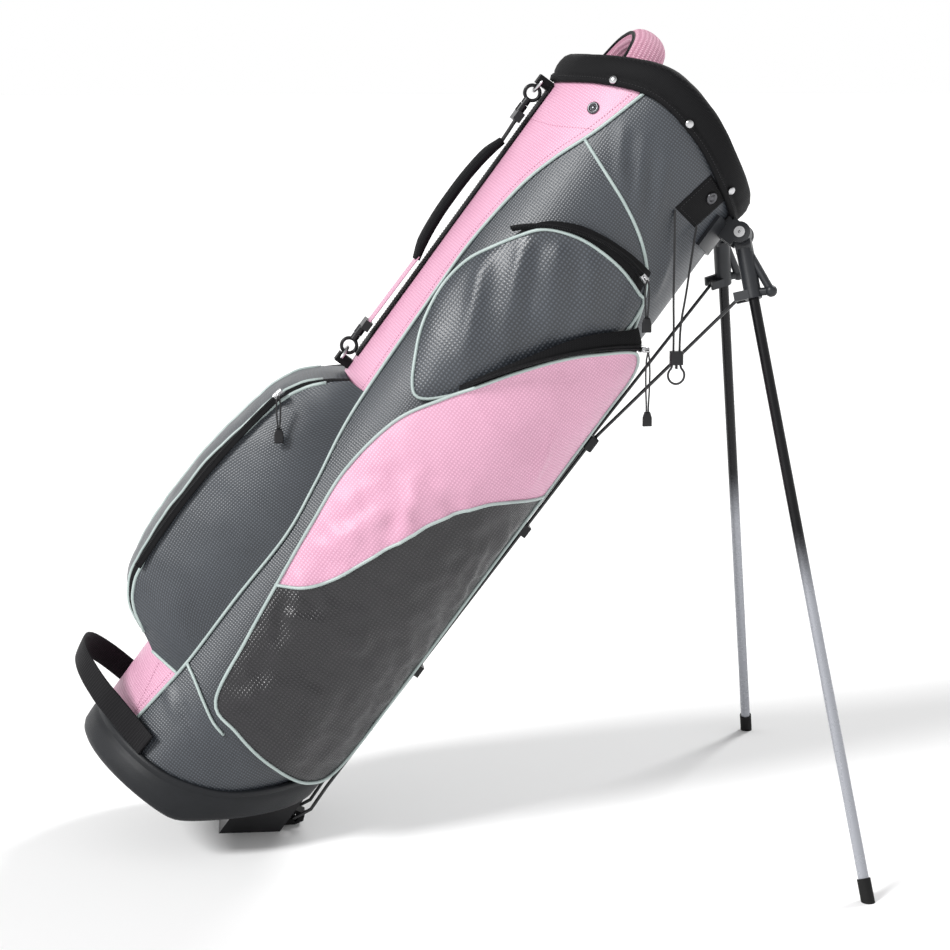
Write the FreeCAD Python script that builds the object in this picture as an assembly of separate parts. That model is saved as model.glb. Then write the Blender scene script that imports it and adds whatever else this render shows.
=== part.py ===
import FreeCAD, Part
import math
import os
from FreeCAD import Placement, Rotation, Vector

# A golf stand bag, standing tilted on its two spread legs and on the heel of its base.
#
# The bag is modelled upright in its own frame, then tipped over as a whole:
#   Z runs along the tube from the base to the mouth, X points at the belly, where the legs are, and Y is
#   sideways.
#   The spine, with the strap and the ball pocket, is on the -X side. "left" is -Y and "right" is +Y.
#   Angles round the tube are degrees from the belly (+X) towards the right (+Y).

# ---------------------------------------------------------------- driving dimensions, mm and degrees
TILT = 36.4                 # lean of the standing bag from the vertical
BASE_HEIGHT = 38.0          # height of the tube axis at the sole when the bag stands
BASE_FORWARD = -285.0       # puts the origin under the middle of the standing bag
TUBE_R = 110.0              # outside of the fabric tube
FABRIC = 2.0
CLEARANCE = 0.3             # gap left between parts that aren't sewn together
PATCH = 1.6                 # thickness of the sewn tabs and strips

SOLE_Z = 5.0                # underside of the boot
HEEL_SLOPE = 0.65           # rise of the boot's underside towards the belly
BOOT_R = 116.0
BOOT_FLOOR = 4.0

RIM_PROFILE = ((-130, 832), (-88, 861), (-40, 878), (20, 869), (70, 850), (130, 826))
CUFF_R = 118.0
CUFF_INNER_R = 100.5
CUFF_HEIGHT = 33.0
CUFF_PADDING = 8.0

PIVOT_X = 120.0             # leg pivots
PIVOT_Y = 52.0
PIVOT_Z = 797.0
PIN_R = 3.0
PIN_PLAY = 0.08
BOSS_R = 10.0
FOOT_AHEAD_OF_BASE = 657.0  # where the feet stand, from the tube axis at the sole
FOOT_SIDE = 274.0
LEG_R = 5.25
LEG_WALL = 1.0
FOOT_R = 6.5
SOCKET_R = 8.5
SOCKET_START = 16.0
SOCKET_END = 66.0
ROD_LUG = 62.0              # distance of the push rod's lug from the leg pivot
ROD_LUG_OFFSET = 14.0

WIRE_R = 1.75
JUNCTION = Vector(133.0, 0.0, 542.0)
WIRE_GAP_TOP = 7.0          # half the distance between the two push wires
WIRE_GAP_BASE = 15.0
WIRE_FOOT_X = 124.0
WIRE_FOOT_Z = 97.0
BAIL_X = 116.0
BAIL_Z = 50.0

PEDAL_PIN_X = 80.0
PEDAL_PIN_Z = 48.0
PEDAL_PIN_R = 2.5
PEDAL_HALF_WIDTH = 10.5
HOUSING_INNER = 19.5
HOUSING_OUTER = 28.0

SPINE_X = -TUBE_R
UPPER_RING_Z = 800.0
LOWER_RING_Z = 466.0
UPPER_EYE_Z = 755.0         # ends of the strap's webbing, where the hooks' eyes begin
LOWER_EYE_Z = 511.0
RING_OFFSET = 12.5          # height of the ring's bar over the spine
RING_R = 11.0
HOOK_R = 7.5
STEM_R = 2.0                # the hook's stem, which turns in the strap's eye

STAND = Placement(Vector(BASE_FORWARD, 0, BASE_HEIGHT), Rotation(Vector(0, 1, 0), TILT))


# ---------------------------------------------------------------- helpers
def stand(shape):
    """The shape moved from the upright bag frame to the standing one."""
    moved = shape.copy()
    moved.Placement = STAND.multiply(moved.Placement)
    return moved


def save(name, shape):
    """Writes one sub-part, standing, to its own STEP file."""
    stand(shape).exportStep(f"parts/{name}.step")


def upright(point):
    """A point of the standing frame, in the upright bag frame."""
    return STAND.inverse().multVec(point)


def polar(radius, angle, z):
    """A point by its radius, its angle round the tube and its height."""
    turn = math.radians(angle)
    return Vector(radius * math.cos(turn), radius * math.sin(turn), z)


def group(shapes):
    return Part.makeCompound(shapes)


def merged(shapes):
    """One solid from several overlapping ones."""
    result = shapes[0].fuse(shapes[1:]).removeSplitter()
    return result.Solids[0] if len(result.Solids) == 1 else result


def cylinder(radius, z_low, z_high):
    return Part.makeCylinder(radius, z_high - z_low, Vector(0, 0, z_low))


def tube(inner, outer, z_low, z_high):
    return cylinder(outer, z_low, z_high).cut(cylinder(inner, z_low - 1, z_high + 1))


def bar(start, end, radius):
    """A round bar between two points."""
    run = end.sub(start)
    return Part.makeCylinder(radius, run.Length, start, run)


def block(x0, x1, y0, y1, z0, z1):
    return Part.makeBox(x1 - x0, y1 - y0, z1 - z0, Vector(x0, y0, z0))


def side_prism(edges, half_width):
    """A closed outline in the XZ plane, pulled out along Y."""
    face = Part.Face(Part.Wire(edges))
    face.translate(Vector(0, -half_width, 0))
    return face.extrude(Vector(0, 2 * half_width, 0))


def polygon(points):
    return Part.makePolygon(list(points) + [points[0]]).Edges


def lines(points):
    return [Part.LineSegment(a, b).toShape() for a, b in zip(points, points[1:])]


def smooth(points):
    curve = Part.BSplineCurve()
    curve.interpolate(list(points))
    return curve.toShape()


def xz(points):
    return [Vector(x, 0, z) for x, z in points]


def sector(start, end, radius, z_low, z_high):
    """A slice of a cylinder between two angles."""
    wedge = Part.makeCylinder(radius, z_high - z_low, Vector(0, 0, z_low), Vector(0, 0, 1), end - start)
    wedge.rotate(Vector(0, 0, 0), Vector(0, 0, 1), start)
    return wedge


def mirrored(shape):
    """The same part on the other side of the bag."""
    return shape.mirror(Vector(0, 0, 0), Vector(0, 1, 0))


# ---------------------------------------------------------------- the outlines that several parts share
def below_rim(drop):
    """Everything below the arched rim line, lowered by drop."""
    rim = xz([(x, z - drop) for x, z in RIM_PROFILE])
    sides = lines([rim[-1], Vector(130, 0, 0), Vector(-130, 0, 0), rim[0]])
    return side_prism([smooth(rim)] + sides, 130)


def above_sole(lift):
    """Everything above the boot's underside, which is flat at the spine and bevelled at the belly."""
    z = SOLE_Z + lift
    bevel_end = z + HEEL_SLOPE * 130
    top = 900
    corner = Part.Arc(Vector(-12, 0, z), Vector(1, 0, z + 1.8), Vector(12, 0, z + HEEL_SLOPE * 12)).toShape()
    left = lines([Vector(-130, 0, z), Vector(-12, 0, z)])
    right = lines(xz([(12, z + HEEL_SLOPE * 12), (130, bevel_end), (130, top), (-130, top), (-130, z)]))
    return side_prism(left + [corner] + right, 130)


def above_boot_rim():
    """Everything above the upper edge of the boot."""
    level, slope, top = 41.0, 0.76, 900
    bend = Part.Arc(Vector(-45, 0, level), Vector(2, 0, level + 9), Vector(40, 0, level + 27)).toShape()
    left = lines(xz([(-130, level), (-45, level)]))
    right = lines(xz([(40, level + 27), (130, level + 27 + slope * 90), (130, top), (-130, top),
                      (-130, level)]))
    return side_prism(left + [bend] + right, 130)


# ---------------------------------------------------------------- shell
def base_boot():
    outside = cylinder(BOOT_R, 0, 150).common(above_sole(0)).cut(above_boot_rim())
    inside = cylinder(TUBE_R, 0, 150).common(above_sole(BOOT_FLOOR))
    return outside.cut(inside)


def shell_panel(start, end):
    wall = tube(TUBE_R - FABRIC, TUBE_R, 0, 900).common(sector(start, end, TUBE_R + 5, 0, 900))
    return wall.common(below_rim(CUFF_PADDING)).common(above_sole(BOOT_FLOOR))


def collar_ring():
    wall = tube(103.2, TUBE_R - FABRIC, 700, 900)
    return wall.common(below_rim(CUFF_PADDING)).cut(below_rim(46))


def collar_cuff():
    band = tube(CUFF_INNER_R, CUFF_R, 700, 900).common(below_rim(0)).cut(below_rim(CUFF_HEIGHT))
    slot = tube(103.2, TUBE_R, 700, 900).common(below_rim(CUFF_PADDING))
    return band.cut(slot)


def divider_bars():
    across = block(-64, -56, -CUFF_INNER_R, CUFF_INNER_R, 834, 846)
    along = block(-57, CUFF_INNER_R, -4, 4, 834, 846).common(below_rim(30))
    return merged([across, along]).common(cylinder(103.2, 800, 900)).cut(
        tube(CUFF_INNER_R, CUFF_R, 700, 900).cut(below_rim(CUFF_HEIGHT)))


def lift_pad():
    """The mesh-covered carrying roll that arches over the mouth from side to side."""
    path = Part.Arc(Vector(-64, -86, 858), Vector(-64, 0, 893), Vector(-64, 86, 858)).toShape()
    section = Part.Ellipse(Vector(-64, -86, 858), 23, 9).toShape()
    section.rotate(Vector(-64, -86, 858), Vector(1, 0, 0), 90)
    roll = Part.Wire(path).makePipeShell([Part.Wire(section)], True, False)
    return roll.cut(tube(CUFF_INNER_R - CLEARANCE, 140, 700, 950))


def stay_rods():
    top = 810
    return group([Part.makeCylinder(2.4, top - 9.2, polar(105.2, a, 9.2)) for a in (150, 210)])


# ---------------------------------------------------------------- pockets and pads
def ball_pocket():
    """The pocket low on the spine: its side outline, narrowed towards the front."""
    side = xz([(-60, 128), (-108, 126), (-150, 146), (-170, 178), (-174, 250), (-165, 340),
               (-150, 404), (-116, 448), (-60, 452)])
    outline = side_prism(lines(side[:2]) + [smooth(side[1:8])] + lines([side[7], side[8], side[0]]), 100)
    plan = Part.Face(Part.Wire(polygon([Vector(-60, -88, 0), Vector(-60, 88, 0), Vector(-110, 76, 0),
                                        Vector(-160, 54, 0), Vector(-178, 30, 0), Vector(-178, -30, 0),
                                        Vector(-160, -54, 0), Vector(-110, -76, 0)])))
    return outline.common(plan.extrude(Vector(0, 0, 600))).cut(cylinder(TUBE_R, 0, 900))


def wrapped(outline, facing, radius):
    """A pocket or pad wrapped on the tube between the cloth and a radius. The outline's points are (angle round
    the tube, height); it is cut straight through towards the facing angle."""
    points = [Vector(0, TUBE_R * math.sin(math.radians(a - facing)), z) for a, z in outline]
    edge = smooth(points + [points[0]])
    prism = Part.Face(Part.Wire([edge])).extrude(Vector(160, 0, 0))
    prism.rotate(Vector(0, 0, 0), Vector(0, 0, 1), facing)
    return prism.common(tube(TUBE_R, radius, 0, 900))


def away_from_legs(pocket):
    """Keeps a side pocket out of the strip that the folded legs lie in."""
    return pocket.cut(block(60, 200, -61.5, 61.5, 60, 720))


def apparel_pocket():
    outline = [(-33, 655), (-62, 634), (-88, 574), (-106, 505), (-119, 430), (-120, 320), (-116, 215),
               (-107, 134), (-72, 103), (-38, 112), (-27, 190), (-26, 400), (-26, 590)]
    return away_from_legs(wrapped(outline, -72, 134))


def upper_pocket():
    outline = [(-61, 706), (-93, 706), (-118, 690), (-136, 640), (-140, 582), (-131, 522), (-119, 486),
               (-104, 520), (-86, 584), (-62, 644), (-45, 668), (-50, 690)]
    return wrapped(outline, -90, 119)


def accessory_pocket():
    outline = [(134, 474), (116, 467), (95, 455), (66, 427), (40, 388), (29, 330), (28, 200), (34, 128),
               (60, 104), (92, 110), (122, 134), (130, 200), (129, 290), (132, 400)]
    return away_from_legs(wrapped(outline, 80, 132))


def mesh_pouch():
    """The open mesh pouch on the accessory pocket, with the elastic band at its top."""
    outline = [(99, 270), (84, 290), (62, 305), (42, 312), (41, 200), (48, 142), (66, 124), (88, 130),
               (98, 170)]
    mesh = wrapped(outline, 76, 134.2).cut(cylinder(132, 0, 900))
    lower = [(99, 276), (84, 296), (62, 311), (42, 318)]
    upper = [(angle, z + 12) for angle, z in reversed(lower)]
    band = wrapped(lower + upper, 76, 134.8)
    return group([mesh, band.cut(cylinder(132, 0, 900)).cut(mesh)])


def hip_pad():
    outline = [(126, 770), (106, 752), (88, 731), (70, 700), (54, 655), (46, 599), (54, 530), (70, 488),
               (95, 473), (122, 484), (139, 510), (143, 610), (139, 700)]
    return wrapped(outline, 94, 117)


def grab_loop():
    """A webbing loop round the foot of the spine, sewn to both sides of the bag."""
    discs = [Part.Face(Part.Wire(Part.Ellipse(Vector(-82, 0, 0), r, r - 2).toShape())) for r in (86, 83)]
    outer, inner = [disc.extrude(Vector(0, 0, 25)) for disc in discs]
    loop = outer.cut(inner).cut(block(-82, 50, -200, 200, -10, 60))
    loop.rotate(Vector(-82, 0, 0), Vector(0, 1, 0), 12)
    loop.translate(Vector(0, 0, 50))
    patches = tube(BOOT_R, BOOT_R + 2.5, 46, 74).common(sector(126, 234, 130, 46, 74))
    patches = patches.cut(sector(138, 222, 130, 40, 90))
    return merged([loop.cut(cylinder(BOOT_R, 0, 200)), patches])


# ---------------------------------------------------------------- strap, handle and rings along the spine
def spine_strip():
    strip = tube(TUBE_R, TUBE_R + PATCH, 476, 806)
    return strip.common(block(-130, -90, -14, 14, 470, 810))


def carry_handle():
    path = Part.Arc(Vector(-119, 0, 588), Vector(-128, 0, 660), Vector(-119, 0, 732)).toShape()
    section = Part.Ellipse(Vector(-119, 0, 588), 17, 5).toShape()
    section.rotate(Vector(-119, 0, 588), Vector(0, 0, 1), 90)
    return Part.Wire(path).makePipeShell([Part.Wire(section)], True, False).Solids[0]


def strap_webbing():
    """The flat webbing above and below the padded handle, which ends in the hooks' eyes."""
    upper = [(-117.5, 733), (-120.5, 733), (-122, UPPER_EYE_Z), (-119, UPPER_EYE_Z)]
    lower = [(-119, LOWER_EYE_Z), (-122, LOWER_EYE_Z), (-120.5, 587), (-117.5, 587)]
    return group([side_prism(polygon(xz(upper)), 12), side_prism(polygon(xz(lower)), 14)])


def strap_eyes():
    """The flat eyes that join the webbing's ends to the hooks' barrels."""
    eyes = []
    for z, away in ((UPPER_EYE_Z, 1), (LOWER_EYE_Z, -1)):
        middle = Vector(SPINE_X - RING_OFFSET, 0, z)
        frame = block(-125, -117, -16, 16, min(z, z + 10 * away), max(z, z + 10 * away))
        barrel = bar(middle + Vector(0, 0, 9 * away), middle + Vector(0, 0, 18 * away), 4.5)
        bore = bar(middle - Vector(0, 0, 20 * away), middle + Vector(0, 0, 20 * away), STEM_R + 0.1)
        eyes.append(merged([frame, barrel]).cut(bore))
    return group(eyes)


def d_ring(z, hang):
    """A D-shaped wire ring: a straight bar, which it swings about, and a half hoop that goes up or down."""
    centre = Vector(SPINE_X - RING_OFFSET, 0, z)
    half = block(centre.x - 5, centre.x + 5, -20, 20, min(z, z + hang * 20), max(z, z + hang * 20))
    hoop = Part.makeTorus(RING_R, 1.6, centre, Vector(1, 0, 0)).common(half)
    straight = bar(centre + Vector(0, -RING_R, 0), centre + Vector(0, RING_R, 0), 1.6)
    corners = [Part.makeSphere(1.6, centre + Vector(0, y, 0)) for y in (-RING_R, RING_R)]
    return merged([straight, hoop] + corners)


def ring_tabs():
    """The sewn webbing loops that hold the D rings' bars."""
    tabs = []
    for z, away in ((UPPER_RING_Z, 1), (LOWER_RING_Z, -1)):
        low = min(z - 3 * away, z + 6.5 * away)
        tab = block(SPINE_X - RING_OFFSET - 4, SPINE_X + 5, -8, 8, low, low + 9.5)
        tab = tab.cut(cylinder(TUBE_R + PATCH, 0, 900))
        groove = bar(Vector(SPINE_X - RING_OFFSET, -9, z), Vector(SPINE_X - RING_OFFSET, 9, z), 2.0)
        tabs.append(tab.cut(groove))
    return group(tabs)


def snap_hook(ring_z, hang, eye_z):
    """A hook that goes round the D ring's hoop, on a stem that turns in the strap's eye."""
    x = SPINE_X - RING_OFFSET
    centre = Vector(x, 0, ring_z + hang * 13)
    hoop = Part.makeTorus(HOOK_R, 1.8, centre, Vector(0, 1, 0))
    start = centre + Vector(0, 0, hang * HOOK_R)
    stem = bar(start, Vector(x, 0, eye_z - hang * 4), STEM_R)
    collar = bar(start, start + Vector(0, 0, hang * 6), 4.0)
    return merged([hoop, stem, collar])


# ---------------------------------------------------------------- stand
def hinge_frame():
    """Left leg: the pivot, the direction along the spread leg, the hinge axis and the leg's length."""
    pivot = Vector(PIVOT_X, -PIVOT_Y, PIVOT_Z)
    foot = upright(Vector(BASE_FORWARD + FOOT_AHEAD_OF_BASE, -FOOT_SIDE, 0))
    leg = foot.sub(pivot)
    length = leg.Length
    along = leg.normalize()
    axis = Vector(0, 0, -1).cross(along).normalize()
    return pivot, along, axis, length


PIVOT, LEG_ALONG, LEG_AXIS, LEG_LENGTH = hinge_frame()
LEG_OUTWARD = Vector(-LEG_AXIS.y, LEG_AXIS.x, 0)              # from the tube, square to the hinge axis
FOLD_ANGLE = math.degrees(Vector(0, 0, -1).getAngle(LEG_ALONG))


def leg_placement():
    """From the leg's own frame (X hinge axis, Z down the leg) to the spread leg."""
    sideways = LEG_ALONG.cross(LEG_AXIS)
    matrix = FreeCAD.Matrix(LEG_AXIS.x, sideways.x, LEG_ALONG.x, PIVOT.x,
                            LEG_AXIS.y, sideways.y, LEG_ALONG.y, PIVOT.y,
                            LEG_AXIS.z, sideways.z, LEG_ALONG.z, PIVOT.z,
                            0, 0, 0, 1)
    return Placement(matrix)


LEG_FRAME = leg_placement()


def spread(shape):
    """Moves a shape from the leg's own frame to the spread left leg."""
    moved = shape.copy()
    moved.Placement = LEG_FRAME.multiply(moved.Placement)
    return moved


def rod_end():
    """Centre of the push rod's ball, between the bracket's lugs on the side of the bag."""
    return LEG_FRAME.multVec(Vector(0, ROD_LUG_OFFSET, ROD_LUG))


def leg_bracket():
    """The moulded socket that carries the leg tube, with its pivot boss, stop arm and push rod lugs."""
    boss = Part.makeCylinder(BOSS_R, 12, Vector(-6, 0, 0), Vector(1, 0, 0))
    neck = block(-6, 6, -8, 8, 0, SOCKET_START + 4)
    socket = cylinder(SOCKET_R, SOCKET_START, SOCKET_END)
    ball = Vector(0, -18, 62)
    stop_arm = bar(Vector(0, -4, 20), ball, 4.0)
    stop_ball = Part.makeSphere(6.0, ball)
    foot_web = bar(Vector(0, -4, 60), ball, 4.0)
    lugs = [block(x, x + 3, 0, ROD_LUG_OFFSET + 4, ROD_LUG - 5, ROD_LUG + 4) for x in (-7.8, 4.8)]
    body = merged([boss, neck, socket, stop_arm, stop_ball, foot_web] + lugs)
    gap = block(-4.8, 4.8, SOCKET_R, 30, 0, 100)
    bore = cylinder(LEG_R, 24, 100)
    pin_hole = Part.makeCylinder(PIN_R + PIN_PLAY, 40, Vector(-20, 0, 0), Vector(1, 0, 0))
    return spread(body.cut(bore).cut(pin_hole).cut(gap))


def leg_tube():
    outside = cylinder(LEG_R, 24, LEG_LENGTH - 12)
    return spread(outside.cut(cylinder(LEG_R - LEG_WALL, 20, LEG_LENGTH)))


def floor_half_space():
    """Everything below the floor of the standing bag, in the upright frame."""
    slab = block(-500, 1500, -600, 600, -300, 0)
    slab.Placement = STAND.inverse().multiply(slab.Placement)
    return slab


def leg_foot():
    """The rubber tip, worn flat where it stands on the floor."""
    sleeve = cylinder(FOOT_R, LEG_LENGTH - 22, LEG_LENGTH + 6)
    hole = cylinder(LEG_R, LEG_LENGTH - 30, LEG_LENGTH - 12)
    return spread(sleeve.cut(hole)).cut(floor_half_space())


def stand_yoke():
    """The saddle on the belly with a pair of ears for each leg's boss."""
    saddle = tube(TUBE_R, TUBE_R + 4.5, 762, 797).common(sector(-40, 40, 140, 750, 830))
    ears = []
    for offset in (-11.4, 6.4):
        plate = block(0, 5, 0, 40, -14, 10)
        tip = Part.makeCylinder(BOSS_R + 0.5, 5, Vector(0, 40, 1.5), Vector(1, 0, 0))
        ear = merged([plate, tip])
        frame = FreeCAD.Matrix(LEG_AXIS.x, LEG_OUTWARD.x, 0, PIVOT.x,
                               LEG_AXIS.y, LEG_OUTWARD.y, 0, PIVOT.y,
                               LEG_AXIS.z, LEG_OUTWARD.z, 1, PIVOT.z,
                               0, 0, 0, 1)
        ear.translate(Vector(offset, -40, -1.5))
        ear.Placement = Placement(frame).multiply(ear.Placement)
        ears.append(ear.cut(cylinder(TUBE_R + 2, 700, 900)))
    ears += [mirrored(ear) for ear in ears]
    cuff_room = tube(TUBE_R, CUFF_R + CLEARANCE, 700, 900).cut(below_rim(CUFF_HEIGHT + CLEARANCE))
    body = merged([saddle] + ears).cut(cuff_room)
    holes = [bar(PIVOT - LEG_AXIS * 30, PIVOT + LEG_AXIS * 30, PIN_R)]
    holes.append(mirrored(holes[0]))
    return body.cut(group(holes))


def pivot_pins():
    """The hollow rivets that the legs turn on."""
    shank = Part.makeCylinder(PIN_R, 24.8, Vector(-12.4, 0, 0), Vector(1, 0, 0))
    heads = [Part.makeCylinder(5.5, 1.2, Vector(x, 0, 0), Vector(1, 0, 0)) for x in (-12.6, 11.4)]
    bore = Part.makeCylinder(1.4, 40, Vector(-20, 0, 0), Vector(1, 0, 0))
    pin = spread(merged([shank] + heads).cut(bore))
    return group([pin, mirrored(pin)])


# ---------------------------------------------------------------- push rods, wires and the base pedal
def wire_points(side):
    """The path of one push wire: from the junction block down the belly, then in to the bail bar."""
    return [Vector(JUNCTION.x, side * WIRE_GAP_TOP, JUNCTION.z - 4),
            Vector(WIRE_FOOT_X, side * WIRE_GAP_BASE, WIRE_FOOT_Z),
            Vector(WIRE_FOOT_X + 1, side * WIRE_GAP_BASE, 68),
            Vector(BAIL_X, side * WIRE_GAP_BASE, BAIL_Z)]


def push_wires():
    """Two steel wires joined at the foot by the bail bar that the pedal pushes."""
    parts = []
    for side in (-1, 1):
        points = wire_points(side)
        parts += [bar(a, b, WIRE_R) for a, b in zip(points, points[1:])]
        parts += [Part.makeSphere(WIRE_R, p) for p in points[1:]]
    foot = wire_points(1)[-1]
    parts.append(bar(Vector(foot.x, -foot.y, foot.z), foot, WIRE_R))
    return merged(parts)


def wire_junction():
    """The clip that ties the push rods to the push wires."""
    clip = block(JUNCTION.x - 5, JUNCTION.x + 5, -15, 15, JUNCTION.z - 9, JUNCTION.z + 7)
    clip = clip.makeFillet(2, clip.Edges)
    rod_room = block(JUNCTION.x - 3, JUNCTION.x + 3, -13, 13, JUNCTION.z - 3, JUNCTION.z + 8)
    wires = [bar(wire_points(s)[0], wire_points(s)[1], WIRE_R) for s in (-1, 1)]
    return clip.cut(group([rod_room] + wires))


def push_rod():
    """Left rod, from its knuckle in the junction block to the ball at the leg bracket."""
    knuckle = Vector(JUNCTION.x, -WIRE_GAP_TOP, JUNCTION.z + 1)
    balls = [Part.makeSphere(2.6, knuckle), Part.makeSphere(3.0, rod_end())]
    return merged([bar(knuckle, rod_end(), WIRE_R)] + balls)


def wire_guides():
    """Saddles on the belly that the push wires slide through."""
    guides = []
    for z in (430, 250):
        share = (JUNCTION.z - z) / (JUNCTION.z - WIRE_FOOT_Z)
        half = WIRE_GAP_TOP + share * (WIRE_GAP_BASE - WIRE_GAP_TOP)
        x = JUNCTION.x + share * (WIRE_FOOT_X - JUNCTION.x)
        saddle = block(100, x + 5, -half - 6, half + 6, z - 6, z + 6).cut(cylinder(TUBE_R, 0, 900))
        holes = [bar(wire_points(s)[0], wire_points(s)[1], WIRE_R + 0.7) for s in (-1, 1)]
        guides.append(saddle.cut(group(holes)))
    return group(guides)


def floor_z(x):
    """Height of the floor line at x, in the upright frame."""
    return math.tan(math.radians(TILT)) * x - BASE_HEIGHT / math.cos(math.radians(TILT))


def pedal_axis_bar(half_length, radius):
    """A round bar along the pedal's pivot."""
    ends = [Vector(PEDAL_PIN_X, y, PEDAL_PIN_Z) for y in (-half_length, half_length)]
    return bar(ends[0], ends[1], radius)


def pedal_housing():
    """The heel block under the boot's bevel, which stands on the floor and holds the pedal's pivot."""
    def outline(x0, x1):
        sole = [SOLE_Z + HEEL_SLOPE * x for x in (x0, x1)]
        return polygon(xz([(x0, floor_z(x0)), (x1, floor_z(x1)), (x1, sole[1]), (x0, sole[0])]))
    pedal_room = block(0, 200, -HOUSING_INNER, HOUSING_INNER, -50, 150)
    cheeks = side_prism(outline(66, 110), HOUSING_OUTER).cut(pedal_room)
    wall = side_prism(outline(60, 67), HOUSING_OUTER)
    return merged([cheeks.Solids[0], cheeks.Solids[1], wall]).cut(pedal_axis_bar(40, PEDAL_PIN_R))


def pedal_pin():
    return pedal_axis_bar(HOUSING_OUTER, PEDAL_PIN_R)


def base_pedal():
    """The lever that the floor pushes in as the bag leans over; its slot takes the bail bar."""
    heel, toe = 84, 122
    outline = xz([(heel, floor_z(heel) + 3), (toe, floor_z(toe) + 1.2), (127, 52), (124, 59), (108, 56),
                  (86, 54), (74, 50), (74, 34)])
    plate = side_prism(polygon(outline), PEDAL_HALF_WIDTH)
    hole = pedal_axis_bar(40, PEDAL_PIN_R + PIN_PLAY)
    slot = block(BAIL_X - 3.2, BAIL_X + 5.2, -40, 40, BAIL_Z - 3.4, BAIL_Z + 3.4)
    return plate.cut(hole).cut(slot)


# ---------------------------------------------------------------- fasteners
def domes(places, radius, height):
    """A group of round studs standing out of the tube at (radius, angle, height) places."""
    studs = []
    for r, angle, z in places:
        base = polar(r, angle, z)
        outward = polar(1, angle, 0)
        studs.append(Part.makeCylinder(radius, height, base, outward))
    return group(studs)


def collar_rivets():
    """Dome rivets along the cuff's lower edge."""
    one_side = ((131, 838), (89, 846), (48, 822))
    places = [(CUFF_R, side * angle, z) for side in (-1, 1) for angle, z in one_side]
    return domes(places, 3.6, 2.0)


def hood_studs():
    """Ring snaps below the cuff, for a rain hood."""
    places = [(TUBE_R, side * 133, 806) for side in (-1, 1)]
    places += [(TUBE_R, 56, 790), (TUBE_R + PATCH, -53.5, 805)]
    return domes(places, 6.0, 3.0)


def bungee_patch():
    """The stitched tab under the cuff that the bungee cord hangs from."""
    facing = -55
    corners = [(-62.5, 822), (-42.5, 813), (-49.5, 773), (-68, 776)]
    corners = [(math.radians(angle - facing), z) for angle, z in corners]
    points = [Vector(0, TUBE_R * math.sin(turn), z) for turn, z in corners]
    patch = Part.Face(Part.Wire(polygon(points))).extrude(Vector(160, 0, 0))
    patch.rotate(Vector(0, 0, 0), Vector(0, 0, 1), facing)
    patch = patch.common(tube(TUBE_R, TUBE_R + PATCH, 700, 850))
    return patch.common(below_rim(CUFF_HEIGHT + CLEARANCE))


# ---------------------------------------------------------------- zips
# Each zip is an arc through three places, given as (radius, angle, height). The slider starts at the first.
ZIPS = {
    "apparel": ((139.2, -44, 650), (140.0, -76, 600), (139.2, -99, 528)),
    "upper": ((123.5, -63, 705), (124.0, -98, 704), (123.5, -127, 668)),
    "accessory": ((138.0, 93, 449), (138.0, 112, 330), (138.0, 106, 160)),
    "ball": ((167.0, -160.0, 405), (179.0, -161.8, 310), (180.0, -161.9, 185)),
}
TRACK_R = 1.6
SLIDER_R = 3.4
SLIDER_BORE = 2.0
PULLER_LENGTH = {"apparel": 72.0, "upper": 50.0, "accessory": 66.0, "ball": 46.0}
PULLER_OFFSET = 6.5
DOWN = STAND.inverse().Rotation.multVec(Vector(0, 0, -1))


def zip_points(name):
    return [polar(*place) for place in ZIPS[name]]


def zip_circle(name):
    """Centre and axis of a zip's arc; the slider turns about them from the first place to the last."""
    start, middle, end = zip_points(name)
    circle = Part.Arc(start, middle, end).toShape().Curve
    axis = (middle - start).cross(end - middle).normalize()
    return circle.Center, axis


def zip_sweep(name):
    """Angle of the whole zip, in degrees."""
    centre, axis = zip_circle(name)
    start, middle, end = [p - centre for p in zip_points(name)]
    return math.degrees(start.getAngle(middle) + middle.getAngle(end))


def along_zip(name, radius, start, sweep):
    """A round bar bent along the zip's circle, from an angle past its first place."""
    centre, axis = zip_circle(name)
    first = zip_points(name)[0] - centre
    section = Part.Wire(Part.makeCircle(radius, centre + first, axis.cross(first)))
    solid = Part.Face(section).revolve(centre, axis, sweep)
    solid.rotate(centre, axis, start)
    return solid


def zip_track(name):
    return along_zip(name, TRACK_R, -2.5, zip_sweep(name) + 3)


def slider_reach(name):
    """Half the slider's length as an angle on its arc."""
    centre, axis = zip_circle(name)
    return math.degrees(5.0 / (zip_points(name)[0] - centre).Length)


def zip_slider(name):
    reach = slider_reach(name)
    outside = along_zip(name, SLIDER_R, -reach, 2 * reach)
    return outside.cut(along_zip(name, SLIDER_BORE, -2 * reach, 4 * reach))


def slider_outward(name):
    """The direction from the tube's axis through the slider."""
    first = zip_points(name)[0]
    return Vector(first.x, first.y, 0).normalize()


def puller_top(name):
    lift = Vector(0, -15, 0) if name == "ball" else slider_outward(name) * PULLER_OFFSET
    return zip_points(name)[0] + lift


def zip_puller(name):
    """A cord pull with a moulded end, which hangs straight down from the slider."""
    top = puller_top(name)
    end = top + DOWN * PULLER_LENGTH[name]
    tab_top = end - DOWN * 14
    tab = block(-5, 5, -2.2, 2.2, 0, 14)
    tab.Placement = Placement(end, STAND.inverse().Rotation)
    return merged([bar(top, tab_top + DOWN, 1.5), Part.makeSphere(1.5, top), tab])


# ---------------------------------------------------------------- bungee cord
CORD_R = 1.1
LOCK_MIDDLE = Vector(4.5, 4, -143)
LOCK_HALF_GAP = 3.0         # half the distance between the cord's two runs in the lock
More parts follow.
